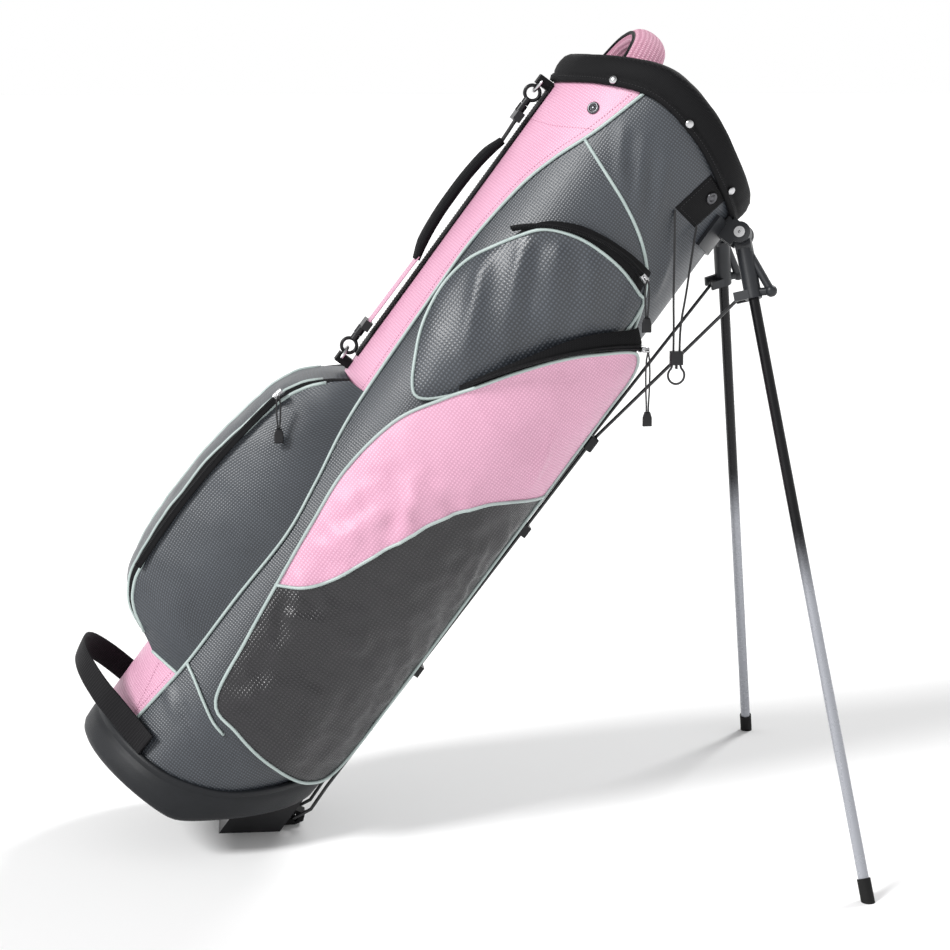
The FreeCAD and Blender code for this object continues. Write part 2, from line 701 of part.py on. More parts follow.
# From its first hole in the patch down through the lock, round its end loop and back up to the second hole.
CORD_ROUTE = [(0, 0, 0), (0.6, 1.2, -42), (0.4, 2.6, -84), (1.5, 4, -112), (1.5, 4, -151),
              (-3.5, 4, -156), (-3.5, 4, -163), (1.4, 4, -168), (7.6, 4, -168), (12.5, 4, -163),
              (12.5, 4, -156), (7.5, 4, -151), (7.5, 4, -112), (13.5, 8.5, -84), (19, 12.5, -48),
              (24.1, 15, -16.5)]


def cord_start():
    """Where the bungee cord leaves the patch, in the standing frame."""
    return STAND.multVec(polar(TUBE_R + PATCH, -67.5, 774))


def rounded_path(points):
    """Straight runs joined by tangent arcs as large as the runs allow. Returns the wire and its radii."""
    edges, radii, last = [], [], points[0]
    for before, corner, after in zip(points, points[1:], points[2:]):
        back, ahead = (before - corner), (after - corner)
        turn = math.pi - back.getAngle(ahead)
        reach = 0.45 * min(back.Length, ahead.Length)
        start = corner + back.normalize() * reach
        end = corner + ahead.normalize() * reach
        radius = reach / math.tan(turn / 2)
        inward = (back + ahead).normalize()
        middle = corner + inward * (radius / math.cos(turn / 2) - radius)
        edges += [Part.LineSegment(last, start).toShape(), Part.Arc(start, middle, end).toShape()]
        radii.append(round(radius, 1))
        last = end
    edges.append(Part.LineSegment(last, points[-1]).toShape())
    return Part.Wire(edges), radii


def bungee_cord():
    start = cord_start()
    points = [start + Vector(*p) for p in CORD_ROUTE]
    path, radii = rounded_path(points)
    print("bungee cord length", round(path.Length, 1), "radii", radii)
    section = Part.Wire(Part.makeCircle(CORD_R, points[0], points[1] - points[0]))
    cord = path.makePipeShell([section], True, False).Solids[0]
    print("volume over section times length", round(cord.Volume / (math.pi * CORD_R ** 2 * path.Length), 4))
    cord.Placement = STAND.inverse().multiply(cord.Placement)
    return cord


def in_cord_frame(shape):
    """Moves a shape made round the cord's start, in the standing frame, to the upright frame."""
    moved = shape.copy()
    moved.translate(cord_start())
    moved.Placement = STAND.inverse().multiply(moved.Placement)
    return moved


def cord_lock():
    """The barrel that grips both runs of the cord; its plunger slides in from below."""
    middle = LOCK_MIDDLE
    barrel = block(middle.x - 6.5, middle.x + 6.5, middle.y - 5, middle.y + 5, middle.z - 6, middle.z + 7)
    barrel = barrel.makeFillet(3, [e for e in barrel.Edges if abs(e.tangentAt(e.FirstParameter).z) > 0.9])
    holes = [Part.makeCylinder(CORD_R + 0.35, 40, middle + Vector(x, 0, -20))
             for x in (-LOCK_HALF_GAP, LOCK_HALF_GAP)]
    well = block(middle.x - 1.25, middle.x + 1.25, middle.y - 3, middle.y + 3, middle.z - 10, middle.z + 5)
    return in_cord_frame(barrel.cut(group(holes + [well])))


def cord_lock_button():
    middle = LOCK_MIDDLE
    return in_cord_frame(block(middle.x - 1, middle.x + 1, middle.y - 2.7, middle.y + 2.7,
                               middle.z - 10, middle.z + 2))


# ---------------------------------------------------------------- assembly
def build():
    os.makedirs("parts", exist_ok=True)
    save("base_boot", base_boot())
    save("spine_panel", shell_panel(145, 215))
    save("right_panel", shell_panel(35, 145))
    save("left_panel", shell_panel(215, 325))
    save("belly_panel", shell_panel(-35, 35))
    save("collar_ring", collar_ring())
    save("collar_cuff", collar_cuff())
    save("divider_bars", divider_bars())
    save("lift_pad", lift_pad())
    save("stay_rods", stay_rods())
    save("ball_pocket", ball_pocket())
    save("apparel_pocket", apparel_pocket())
    save("upper_pocket", upper_pocket().cut(apparel_pocket()))
    save("accessory_pocket", accessory_pocket().cut(ball_pocket()))
    save("mesh_pouch", mesh_pouch())
    save("hip_pad", hip_pad())
    save("grab_loop", grab_loop())
    save("spine_strip", spine_strip())
    save("carry_handle", carry_handle())
    save("strap_webbing", strap_webbing())
    save("strap_eyes", strap_eyes())
    save("ring_tabs", ring_tabs())
    save("upper_ring", d_ring(UPPER_RING_Z, -1))
    save("lower_ring", d_ring(LOWER_RING_Z, 1))
    save("upper_hook", snap_hook(UPPER_RING_Z, -1, UPPER_EYE_Z))
    save("lower_hook", snap_hook(LOWER_RING_Z, 1, LOWER_EYE_Z))
    save("stand_yoke", stand_yoke())
    save("pivot_pins", pivot_pins())
    for part, shape in (("bracket", leg_bracket()), ("tube", leg_tube()), ("foot", leg_foot())):
        save(f"left_leg_{part}", shape)
        save(f"right_leg_{part}", mirrored(shape))
    save("push_wires", push_wires())
    save("wire_junction", wire_junction())
    save("left_push_rod", push_rod())
    save("right_push_rod", mirrored(push_rod()))
    save("wire_guides", wire_guides())
    save("pedal_housing", pedal_housing())
    save("pedal_pin", pedal_pin())
    save("base_pedal", base_pedal())
    save("collar_rivets", collar_rivets())
    save("hood_studs", hood_studs())
    save("bungee_patch", bungee_patch())
    save("bungee_cord", bungee_cord())
    save("cord_lock", cord_lock())
    save("cord_lock_button", cord_lock_button())
    for name in ZIPS:
        save(f"{name}_zip", zip_track(name))
        save(f"{name}_slider", zip_slider(name))
        save(f"{name}_puller", zip_puller(name))


build()
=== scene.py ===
import math

import bpy
import numpy as np
from mathutils import Matrix, Vector, geometry, kdtree, noise


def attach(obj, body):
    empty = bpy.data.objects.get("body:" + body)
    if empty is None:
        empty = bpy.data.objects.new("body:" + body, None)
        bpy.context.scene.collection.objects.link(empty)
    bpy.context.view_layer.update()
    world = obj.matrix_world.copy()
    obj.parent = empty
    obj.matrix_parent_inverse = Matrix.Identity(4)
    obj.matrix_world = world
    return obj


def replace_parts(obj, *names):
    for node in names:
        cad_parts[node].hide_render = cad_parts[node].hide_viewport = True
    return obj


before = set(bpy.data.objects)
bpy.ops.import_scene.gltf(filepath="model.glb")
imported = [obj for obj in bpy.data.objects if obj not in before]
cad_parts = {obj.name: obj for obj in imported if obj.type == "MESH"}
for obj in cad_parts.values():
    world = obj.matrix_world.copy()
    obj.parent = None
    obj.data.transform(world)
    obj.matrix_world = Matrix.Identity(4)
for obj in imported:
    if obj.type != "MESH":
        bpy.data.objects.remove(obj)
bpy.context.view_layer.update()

TILT = math.radians(36.4)
BASE_HEIGHT = 38.0
BASE_FORWARD = -285.0
TUBE_R = 110.0
SKIN_R = 110.6
LINER_R = 107.4
BOOT_R = 116.0
CUFF_R = 118.0
CUFF_INNER_R = 100.5
CUFF_HEIGHT = 33.0
SOLE_Z = 5.0
HEEL_SLOPE = 0.65
PIPING_R = 1.7
LINE_STEP = 5.0
MM = 0.001

STAND = Matrix.Translation((BASE_FORWARD * MM, 0, BASE_HEIGHT * MM)) @ Matrix.Rotation(TILT, 4, "Y")
BAG = "bag"

# Heights of the mouth's rim and of the boot's rim, by the distance from the tube's middle towards the belly.
RIM = ((-130, 832), (-88, 861), (-40, 878), (20, 869), (70, 850), (130, 826))
BOOT_RIM = ((-130, 41), (-45, 41), (-2, 50), (40, 68), (130, 136))

# The seam between the pink spine and the grey sides, the same on both sides: (angle, height).
SPINE_SEAM = [
    (115, 846), (124, 790), (134, 746), (141, 705), (146, 640), (146, 580), (143, 440), (135, 360),
    (130.5, 300), (132.5, 220), (133.5, 140), (137, 85), (141, 34),
]
UPPER_SEAM = [
    (-126, 777), (-110, 765), (-89.5, 749), (-72, 731), (-57, 709), (-46, 682), (-38, 655), (-31, 622),
]
APPAREL_EDGE = [
    (-29, 622), (-43, 642), (-62, 620), (-75, 596), (-87, 562), (-97, 527), (-105, 500), (-116, 455),
    (-121, 390), (-119, 330), (-116, 270), (-112, 200), (-107, 134), (-92, 121), (-72, 111), (-47, 110),
    (-32, 135), (-28.3, 220), (-28.3, 400), (-28.3, 560),
]
APPAREL_DIVIDE = [(-116, 259), (-105, 275), (-96.5, 302), (-86, 359), (-74, 411), (-56, 451), (-28.3, 475)]
UPPER_EDGE = [
    (-57, 690), (-75, 699), (-93.5, 700), (-106, 694), (-115, 684), (-122.5, 666), (-130, 645), (-138, 618),
    (-141, 586), (-138, 551), (-131, 521), (-118, 486), (-105, 503), (-95, 535), (-84, 570), (-70, 605),
    (-55, 632), (-49, 655), (-51, 686),
]
HIP_EDGE = [
    (128, 772), (106, 754), (90, 735), (72, 705), (55, 660), (46, 599), (50, 545), (62, 508), (78, 483),
    (98, 475), (122, 485), (141, 512), (147, 570), (147, 640), (140, 704), (134, 748),
]
ACCESSORY_EDGE = [
    (136, 480), (116, 468), (97, 457), (67.5, 430), (43, 393), (32, 330), (28.5, 250), (29, 170), (38, 118),
    (60, 102), (80, 105), (100, 116), (121, 133), (129.5, 180), (128.5, 265), (133, 351), (139, 430),
]
ACCESSORY_ZIP = [
    (86, 458), (96, 438), (103, 414), (110, 370), (113.5, 310), (113.5, 260), (109.5, 195), (102.5, 135),
    (97, 112),
]
POUCH_BAND = [(28, 326), (50, 314), (70, 300), (90, 284), (111, 268)]
# Three places on each zip's arc, its slider's first: (radius, angle, height).
ZIPS = {
    "apparel": ((139.2, -44, 650), (140.0, -76, 600), (139.2, -99, 528)),
    "upper": ((123.5, -63, 705), (124.0, -98, 704), (123.5, -127, 668)),
    "accessory": ((138.0, 93, 449), (138.0, 112, 330), (138.0, 106, 160)),
    "ball": ((167.0, -160.0, 405), (179.0, -161.8, 310), (180.0, -161.9, 185)),
}


# ---- places
def upright(x, y, z):
    """A point of the upright bag frame in millimetres, in the row frame in metres."""
    return STAND @ Vector((x * MM, y * MM, z * MM))


def heading(x, y, z):
    """A direction of the upright bag frame, in the row frame."""
    return STAND.to_3x3() @ Vector((x, y, z))


def on_tube(angle, z, radius=SKIN_R):
    turn = math.radians(angle)
    return upright(radius * math.cos(turn), radius * math.sin(turn), z)


def outward_at(angle):
    """The direction out from the tube at an angle."""
    turn = math.radians(angle)
    return heading(math.cos(turn), math.sin(turn), 0)


def between(table, value):
    """A value read off a smooth line through a table of (place, value) points in rising order."""
    places = [p for p, _ in table]
    if value <= places[0]:
        return table[0][1]
    if value >= places[-1]:
        return table[-1][1]
    k = max(i for i, p in enumerate(places) if p <= value)
    (x0, y0), (x1, y1) = table[k], table[k + 1]
    before = table[k - 1] if k else (2 * x0 - x1, 2 * y0 - y1)
    after = table[k + 2] if k + 2 < len(table) else (2 * x1 - x0, 2 * y1 - y0)
    t = (value - x0) / (x1 - x0)
    slope0 = (y1 - before[1]) / (x1 - before[0]) * (x1 - x0)
    slope1 = (after[1] - y0) / (after[0] - x0) * (x1 - x0)
    return (y0 * (2 * t ** 3 - 3 * t ** 2 + 1) + slope0 * (t ** 3 - 2 * t ** 2 + t)
            + y1 * (3 * t ** 2 - 2 * t ** 3) + slope1 * (t ** 3 - t ** 2))


def rim_z(angle, radius=CUFF_R):
    return between(RIM, radius * math.cos(math.radians(angle)))


def sole_z(angle, radius=BOOT_R):
    x = radius * math.cos(math.radians(angle))
    return SOLE_Z + HEEL_SLOPE * (x + math.sqrt(x * x + 100)) / 2


def boot_rim_z(angle, radius=BOOT_R):
    x = radius * math.cos(math.radians(angle))
    return between(BOOT_RIM, x)


def arc(angle):
    """The distance round the tube at an angle, in millimetres."""
    return math.radians(angle) * TUBE_R


def angle_at(distance):
    return math.degrees(distance / TUBE_R)


def curved(points, steps_between, closed=False):
    """Points on a smooth line through the given ones, with steps_between(p, q) steps between each two."""
    count = len(points)
    line = []
    for k in range(count if closed else count - 1):
        p1, p2 = points[k], points[(k + 1) % count]
        p0 = points[k - 1] if (closed or k) else 2 * p1 - p2
        p3 = points[(k + 2) % count] if (closed or k + 2 < count) else 2 * p2 - p1
        steps = steps_between(p1, p2)
        for i in range(steps):
            t = i / steps
            line.append(0.5 * (2 * p1 + (p2 - p0) * t + (2 * p0 - 5 * p1 + 4 * p2 - p3) * t * t
                               + (3 * p1 - p0 - 3 * p2 + p3) * t ** 3))
    return line if closed else line + [points[-1]]


def smooth_line(places, closed=False):
    """Places every few millimetres on a smooth line through (angle, height) places."""
    points = [Vector((arc(a), z)) for a, z in places]
    line = curved(points, lambda p, q: max(1, round((q - p).length / LINE_STEP)), closed)
    return [(angle_at(p.x), p.y) for p in line]


# ---- materials
class Shading:
    """A new material, with short ways to add nodes to it."""

    def __init__(self, name, color, roughness, metallic=0.0, coat=0.0, specular=0.5):
        self.material = bpy.data.materials.new(name)
        self.material.use_nodes = True
        self.nodes = self.material.node_tree.nodes
        self.links = self.material.node_tree.links
        self.inputs = self.nodes["Principled BSDF"].inputs
        self.inputs["Base Color"].default_value = (*color, 1)
        self.inputs["Roughness"].default_value = roughness
        self.inputs["Metallic"].default_value = metallic
        self.inputs["Coat Weight"].default_value = coat
        self.inputs["Specular IOR Level"].default_value = specular

    def in_object(self):
        return self.nodes.new("ShaderNodeTexCoord").outputs["Object"]

    def split(self, coordinates):
        node = self.nodes.new("ShaderNodeSeparateXYZ")
        self.links.new(coordinates, node.inputs[0])
        return node.outputs

    def math(self, operation, a, b=0.0):
        node = self.nodes.new("ShaderNodeMath")
        node.operation = operation
        for socket, value in zip(node.inputs, (a, b)):
            if isinstance(value, float):
                socket.default_value = value
            else:
                self.links.new(value, socket)
        return node.outputs[0]

    def noise(self, coordinates, scale, detail=4.0):
        node = self.nodes.new("ShaderNodeTexNoise")
        node.inputs["Scale"].default_value = scale
        node.inputs["Detail"].default_value = detail
        node.inputs["Roughness"].default_value = NOISE_ROUGHNESS
        self.links.new(coordinates, node.inputs["Vector"])
        return node.outputs["Fac"]

    def paint(self, factor, low, high):
        """Blends the colour from low to high."""
        node = self.nodes.new("ShaderNodeMix")
        node.data_type = "RGBA"
        self.links.new(factor, node.inputs[0])
        node.inputs[6].default_value = (*low, 1)
        node.inputs[7].default_value = (*high, 1)
        self.links.new(node.outputs[2], self.inputs["Base Color"])

    def ramp(self, factor, start, end, low, high):
        node = self.nodes.new("ShaderNodeMapRange")
        self.links.new(factor, node.inputs[0])
        for socket, value in zip(node.inputs[1:5], (start, end, low, high)):
            socket.default_value = value
        return node

    def dull(self, factor, low, high):
        """Varies the roughness from low to high."""
        self.links.new(self.ramp(factor, 0.0, 1.0, low, high).outputs[0], self.inputs["Roughness"])

    def bump(self, height, depth):
        """Raises the surface by up to a depth in millimetres."""
        node = self.nodes.new("ShaderNodeBump")
        node.inputs["Distance"].default_value = depth * MM
        node.inputs["Strength"].default_value = 1.0
        self.links.new(height, node.inputs["Height"])
        self.links.new(node.outputs[0], self.inputs["Normal"])


NOISE_ROUGHNESS = 0.55
CLOUDS_PER_METRE = 14
THREADS_PER_METRE = 2200


def woven(name, low, high, pitch, roughness, depth, rib=1.0, specular=0.5):
    """Dobby-woven cloth: a square grid of raised dots over fine threads. The mesh's UVs are in metres."""
    cloth = Shading(name, high, roughness, specular=specular)
    uv = cloth.nodes.new("ShaderNodeUVMap").outputs[0]
    axes = cloth.split(uv)
    waves = []
    for axis, stretch in ((0, 1.0), (1, rib)):
        phase = cloth.math("MULTIPLY", axes[axis], 2 * math.pi / (pitch * stretch))
        waves.append(cloth.math("ADD", cloth.math("SINE", phase), 1.0))
    dots = cloth.math("MULTIPLY", cloth.math("MULTIPLY", *waves), 0.25)
    clouds = cloth.noise(uv, CLOUDS_PER_METRE, 3.0)
    threads = cloth.noise(uv, THREADS_PER_METRE, 2.0)
    tone = cloth.math("ADD", cloth.math("MULTIPLY", dots, 0.75), cloth.math("MULTIPLY", clouds, 0.35))
    cloth.paint(tone, low, high)
    cloth.dull(clouds, roughness - 0.12, roughness + 0.12)
    cloth.bump(cloth.math("ADD", dots, cloth.math("MULTIPLY", threads, 0.3)), depth)
    return cloth.material


def grained(name, low, high, roughness, scale, depth, metallic=0.0, coat=0.0, specular=0.5):
    """Moulded plastic, rubber, binding or metal: a fine grain, with patches of wear in colour and gloss."""
    shell = Shading(name, high, roughness, metallic, coat, specular)
    place = shell.in_object()
    clouds = shell.noise(place, 35)
    shell.paint(clouds, low, high)
    shell.dull(clouds, max(0.05, roughness - 0.1), roughness + 0.1)
    shell.bump(shell.noise(place, scale, 3.0), depth)
    return shell.material


PAINT_ENDS = 0.275          # heights in metres between which the legs' black paint fades to bare metal
PAINT_STARTS = 0.345


def leg_paint():
    """Gloss black paint that fades to bare silver halfway down the leg."""
    leg = Shading("leg_paint", (0.4, 0.4, 0.42), 0.3, metallic=0.35, specular=0.35)
    place = leg.in_object()
    speckle = leg.math("MULTIPLY", leg.noise(place, 700, 2.0), 0.02)
    height = leg.math("ADD", leg.split(place)[2], speckle)
    fade = leg.ramp(height, PAINT_ENDS, PAINT_STARTS, 0.0, 1.0)
    fade.interpolation_type = "SMOOTHSTEP"
    leg.paint(fade.outputs[0], (0.33, 0.34, 0.37), (0.006, 0.006, 0.007))
    leg.dull(leg.noise(place, 90), 0.2, 0.34)
    return leg.material


# Cloths: darkest and lightest colour, pitch of the weave in metres, roughness, depth in millimetres.
PINK = woven("pink_cloth", (0.52, 0.25, 0.36), (0.80, 0.46, 0.60), 0.0027, 0.42, 0.18, specular=0.45)
GREY = woven("grey_cloth", (0.010, 0.012, 0.015), (0.078, 0.090, 0.108), 0.0027, 0.38, 0.20, specular=0.6)
DARK = woven("dark_cloth", (0.005, 0.005, 0.006), (0.034, 0.032, 0.036), 0.0030, 0.27, 0.32)
SHINY = woven("upper_cloth", (0.010, 0.012, 0.015), (0.085, 0.097, 0.116), 0.0034, 0.37, 0.20, specular=0.6)
BLACK = woven("black_cloth", (0.0025, 0.0025, 0.003), (0.010, 0.010, 0.011), 0.0016, 0.7, 0.15, specular=0.15)
LINER = woven("liner_cloth", (0.003, 0.003, 0.0035), (0.012, 0.012, 0.013), 0.0012, 0.7, 0.1, specular=0.15)
MESH_PAD = woven("air_mesh", (0.0015, 0.0015, 0.002), (0.010, 0.010, 0.012), 0.0030, 0.8, 0.5, rib=0.6,
                 specular=0.15)
PINK_MESH = woven("pink_air_mesh", (0.34, 0.13, 0.20), (0.84, 0.50, 0.62), 0.0040, 0.7, 0.6, rib=0.7,
                  specular=0.25)
NET = woven("pouch_net", (0.003, 0.003, 0.0035), (0.060, 0.066, 0.076), 0.0038, 0.4, 0.6, rib=0.62)
WEBBING = woven("webbing", (0.002, 0.002, 0.0025), (0.014, 0.013, 0.015), 0.0018, 0.6, 0.25, rib=1.6,
                specular=0.15)

# Mouldings, metals and threads: two colours, roughness, grains to the metre and their depth in millimetres.
PIPING = grained("silver_piping", (0.30, 0.37, 0.36), (0.46, 0.53, 0.51), 0.35, 1500, 0.05)
BINDING = grained("black_binding", (0.003, 0.003, 0.0035), (0.010, 0.010, 0.011), 0.6, 1800, 0.15,
                  specular=0.15)
BOOT = grained("boot_shell", (0.004, 0.005, 0.006), (0.012, 0.013, 0.016), 0.5, 1100, 0.2, specular=0.3)
PLASTIC = grained("black_plastic", (0.005, 0.005, 0.006), (0.014, 0.014, 0.016), 0.36, 1400, 0.06,
                  specular=0.3)
CHARCOAL = grained("charcoal_plastic", (0.010, 0.011, 0.013), (0.026, 0.028, 0.032), 0.4, 1200, 0.08,
                   specular=0.35)
RUBBER = grained("rubber", (0.005, 0.005, 0.005), (0.016, 0.016, 0.016), 0.7, 900, 0.12, specular=0.15)
NICKEL = grained("nickel", (0.42, 0.42, 0.43), (0.66, 0.66, 0.67), 0.25, 1800, 0.02, metallic=1.0)
GUNMETAL = grained("gunmetal", (0.06, 0.06, 0.065), (0.16, 0.16, 0.17), 0.3, 1500, 0.02, metallic=1.0)
ROD_BLACK = grained("rod_paint", (0.005, 0.005, 0.006), (0.013, 0.013, 0.015), 0.32, 1500, 0.03, coat=0.2)
THREAD = grained("thread", (0.010, 0.010, 0.011), (0.035, 0.035, 0.038), 0.6, 2500, 0.05)
PINK_THREAD = grained("pink_thread", (0.42, 0.15, 0.26), (0.55, 0.24, 0.36), 0.6, 2500, 0.05)
CORD = grained("braided_cord", (0.003, 0.003, 0.0035), (0.014, 0.014, 0.016), 0.6, 2600, 0.3)
LEG_PAINT = leg_paint()


# ---- mesh building
def add_mesh(name, points, faces, materials, uvs=None, indices=None, body=BAG):
    """A smooth-shaded piece that rides on a body; uvs, one for each point, are in metres."""
    mesh = bpy.data.meshes.new(name)
    mesh.from_pydata([tuple(p) for p in points], [], faces)
    for mat in materials if isinstance(materials, (list, tuple)) else [materials]:
        mesh.materials.append(mat)
    layer = mesh.uv_layers.new(name="UVMap")
    if uvs is not None:
        for loop in mesh.loops:
            layer.data[loop.index].uv = uvs[loop.vertex_index]
    if indices is not None:
        mesh.polygons.foreach_set("material_index", indices)
    mesh.polygons.foreach_set("use_smooth", [True] * len(mesh.polygons))
    mesh.update()
    obj = bpy.data.objects.new(name, mesh)
    bpy.context.scene.collection.objects.link(obj)
    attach(obj, body)
    return obj


def turns(count):
    """The cosines and sines of evenly spaced turns."""
    return [(math.cos(2 * math.pi * i / count), math.sin(2 * math.pi * i / count)) for i in range(count)]


def grid_faces(rows, columns, wrap=False):
    faces = []
    for r in range(rows - 1):
        for c in range(columns if wrap else columns - 1):
            d = (c + 1) % columns
            faces.append((r * columns + c, r * columns + d, (r + 1) * columns + d, (r + 1) * columns + c))
    return faces


def inside(polygon, points):
    """Which of the points lie inside a closed outline, as an array of true and false."""
    x, y = points[:, 0], points[:, 1]
    hit = np.zeros(len(points), bool)
    for (x0, y0), (x1, y1) in zip(polygon, np.roll(polygon, -1, axis=0)):
        if y0 != y1:
            hit ^= ((y0 > y) != (y1 > y)) & (x < (x1 - x0) * (y - y0) / (y1 - y0) + x0)
    return hit


def nearest(places):
    """A search tree of flat (u, v) places."""
    tree = kdtree.KDTree(len(places))
    for k, (u, v) in enumerate(places):
        tree.insert((u, v, 0), k)
    tree.balance()
    return tree


def skin(name, outline, height, materials, kind=None, creases=(), spacing=6.0):
    """Cloth laid on the tube inside an outline of (angle, height) places. height(u, v, d) gives its radius,
    from the distances round and along the tube and from the outline; kind(angle, z) picks each face's
    material; creases are lines that faces never cross."""
    border = np.array([(arc(a), z) for a, z in outline])
    low, high = border.min(0), border.max(0)
    columns = np.arange(low[0], high[0], spacing)
    rows = np.arange(low[1], high[1], spacing * 0.87)
    points = np.array([(u + (k % 2) * spacing / 2, v) for k, v in enumerate(rows) for u in columns])
    points = points[inside(border, points)]
    fixed = [Vector(p) for p in border]
    edges = []
    for crease in creases:
        line = [Vector((arc(a), z)) for a, z in crease]
        edges += [(len(fixed) + k, len(fixed) + k + 1) for k in range(len(line) - 1)]
        fixed += line
    near = nearest(fixed)
    free = [Vector(p) for p in points if near.find((p[0], p[1], 0))[2] > spacing * 0.55]
    found = geometry.delaunay_2d_cdt(fixed + free, edges, [list(range(len(border)))], 1, 1e-4)
    flat, faces = found[0], [tuple(f) for f in found[2]]
    rim = nearest(border)
    places, indices = [], []
    for p in flat:
        distance = max(0.0, rim.find((p.x, p.y, 0))[2] - 1.0)
        places.append(on_tube(angle_at(p.x), p.y, height(p.x, p.y, distance)))
    for face in faces:
        middle = sum((flat[i] for i in face), Vector((0, 0))) / len(face)
        indices.append(kind(angle_at(middle.x), middle.y) if kind else 0)
    uvs = [(p.x * MM, p.y * MM) for p in flat]
    return add_mesh(name, places, faces, materials, uvs, indices)


def wrinkles(u, v, size, depth, seed=0.0, stretch=1.0):
    return depth * noise.fractal(Vector((u / size, v / size / stretch, seed)), 1.0, 2.0, 3)


def rounded(distance, edge, rise):
    """A height that climbs steeply from an outline and levels off at a distance from it."""
    t = min(distance / edge, 1.0)
    return rise * math.sqrt(max(0.0, 1 - (1 - t) ** 2))


def along_path(path, closed=False):
    """Each point of a path, with its number and the path's direction there."""
    total = len(path)
    for k, p in enumerate(path):
        ahead = path[(k + 1) % total if closed else min(k + 1, total - 1)]
        back = path[k - 1 if (closed or k) else 0]
        yield k, p, (ahead - back).normalized()


def capped(total, count):
    """The faces of a tube of so many rings of so many points, with its two ends."""
    last = (total - 1) * count
    return grid_faces(total, count, True) + [tuple(range(count))[::-1], tuple(range(last, last + count))]


def sweep(name, path, across, half_width, half_thick, mat, body=BAG, power=2.5, count=20, taper=None):
    """A strap, roll or bar of oval section along a path of row-frame points. across is its width's direction,
    and taper(t) scales the section along the path."""
    points, uvs, run = [], [], 0.0
    for k, p, along in along_path(path):
        side = (across - along * across.dot(along)).normalized()
        up = along.cross(side)
        scale = taper(k / (len(path) - 1)) if taper else 1.0
        run += (p - path[k - 1]).length if k else 0.0
        for c, s in turns(count):
            a = math.copysign(abs(c) ** (2 / power), c) * half_width * MM * scale
            b = math.copysign(abs(s) ** (2 / power), s) * half_thick * MM * scale
            points.append(p + side * a + up * b)
            uvs.append((a if s >= 0 else 2 * half_width * MM - a, run))
    return add_mesh(name, points, capped(len(path), count), mat, uvs, body=body)


def rod(name, path, radius, mat, body=BAG, closed=False, count=8):
    """A round rod, cord or piping along a path of row-frame points."""
    across = (path[1] - path[0]).normalized().orthogonal()
    points = []
    for _, p, along in along_path(path, closed):
        across = (across - along * across.dot(along)).normalized()
        up = along.cross(across)
        points += [p + (across * c + up * s) * radius * MM for c, s in turns(count)]
    if not closed:
        return add_mesh(name, points, capped(len(path), count), mat, body=body)
    last = (len(path) - 1) * count
    shift = min(range(count), key=lambda s: (points[last] - points[s]).length)
    joins = [(last + i, last + (i + 1) % count, (i + 1 + shift) % count, (i + shift) % count)
             for i in range(count)]
    return add_mesh(name, points, grid_faces(len(path), count, True) + joins, mat, body=body)


def on_surface(line, radius):
    """Row-frame points over a line of places; radius is a number or a function of the place."""
    return [on_tube(a, z, radius(a, z) if callable(radius) else radius) for a, z in line]


def stitches(name, path, mat, pitch=3.2, length=2.2, radius=0.35):
    """A line of sewn stitches lying on the path."""
    points, faces = [], []
    travelled, due = 0.0, 0.0
    for p, q in zip(path, path[1:]):
        run = q - p
        while due <= travelled + run.length / MM and run.length > 0:
            centre = p + run.normalized() * (due - travelled) * MM
            along = run.normalized() * length * MM / 2
            side = along.orthogonal().normalized() * radius * MM
            up = along.cross(side).normalized() * radius * MM
            start = len(points)
            points += [centre - along, centre + side, centre + up, centre - side, centre - up, centre + along]
            faces += [(start, start + 1 + i, start + 1 + (i + 1) % 4) for i in range(4)]
            faces += [(start + 5, start + 1 + (i + 1) % 4, start + 1 + i) for i in range(4)]
            due += pitch
        travelled += run.length / MM
    return add_mesh(name, points, faces, mat)


def turned(name, places, profile, mat):
    """Turned fasteners: a profile of (radius, height) points spun about each place's outward direction."""
    points, faces, count = [], [], 20
    for centre, outward in places:
        side = outward.orthogonal().normalized()
        up = outward.cross(side)
        start = len(points)
        for radius, height in profile:
            middle = centre + outward * height * MM
            points += [middle + (side * c + up * s) * radius * MM for c, s in turns(count)]
        faces += [tuple(start + i for i in face) for face in grid_faces(len(profile), count, True)]
        last = start + (len(profile) - 1) * count
        faces.append(tuple(range(last, last + count)))
    return add_mesh(name, points, faces, mat)


# ---- the tube's cloth
def spine_radius(u, v, d):
    return SKIN_R + 0.2 + wrinkles(u, v, 60, 0.35, 3.0, 2.0)


def fold(u, v, start, end, width, depth):
    """A soft diagonal fold between two (angle, height) places."""
    a = Vector((arc(start[0]), start[1]))
    b = Vector((arc(end[0]), end[1]))
    p = Vector((u, v)) - a
    along = (b - a).normalized()
    t = p.dot(along) / (b - a).length
    reach = abs(p.x * along.y - p.y * along.x)
    fade = max(0.0, 1 - (2 * t - 1) ** 2) if 0 < t < 1 else 0.0
    return depth * fade * math.exp(-(reach / width) ** 2)


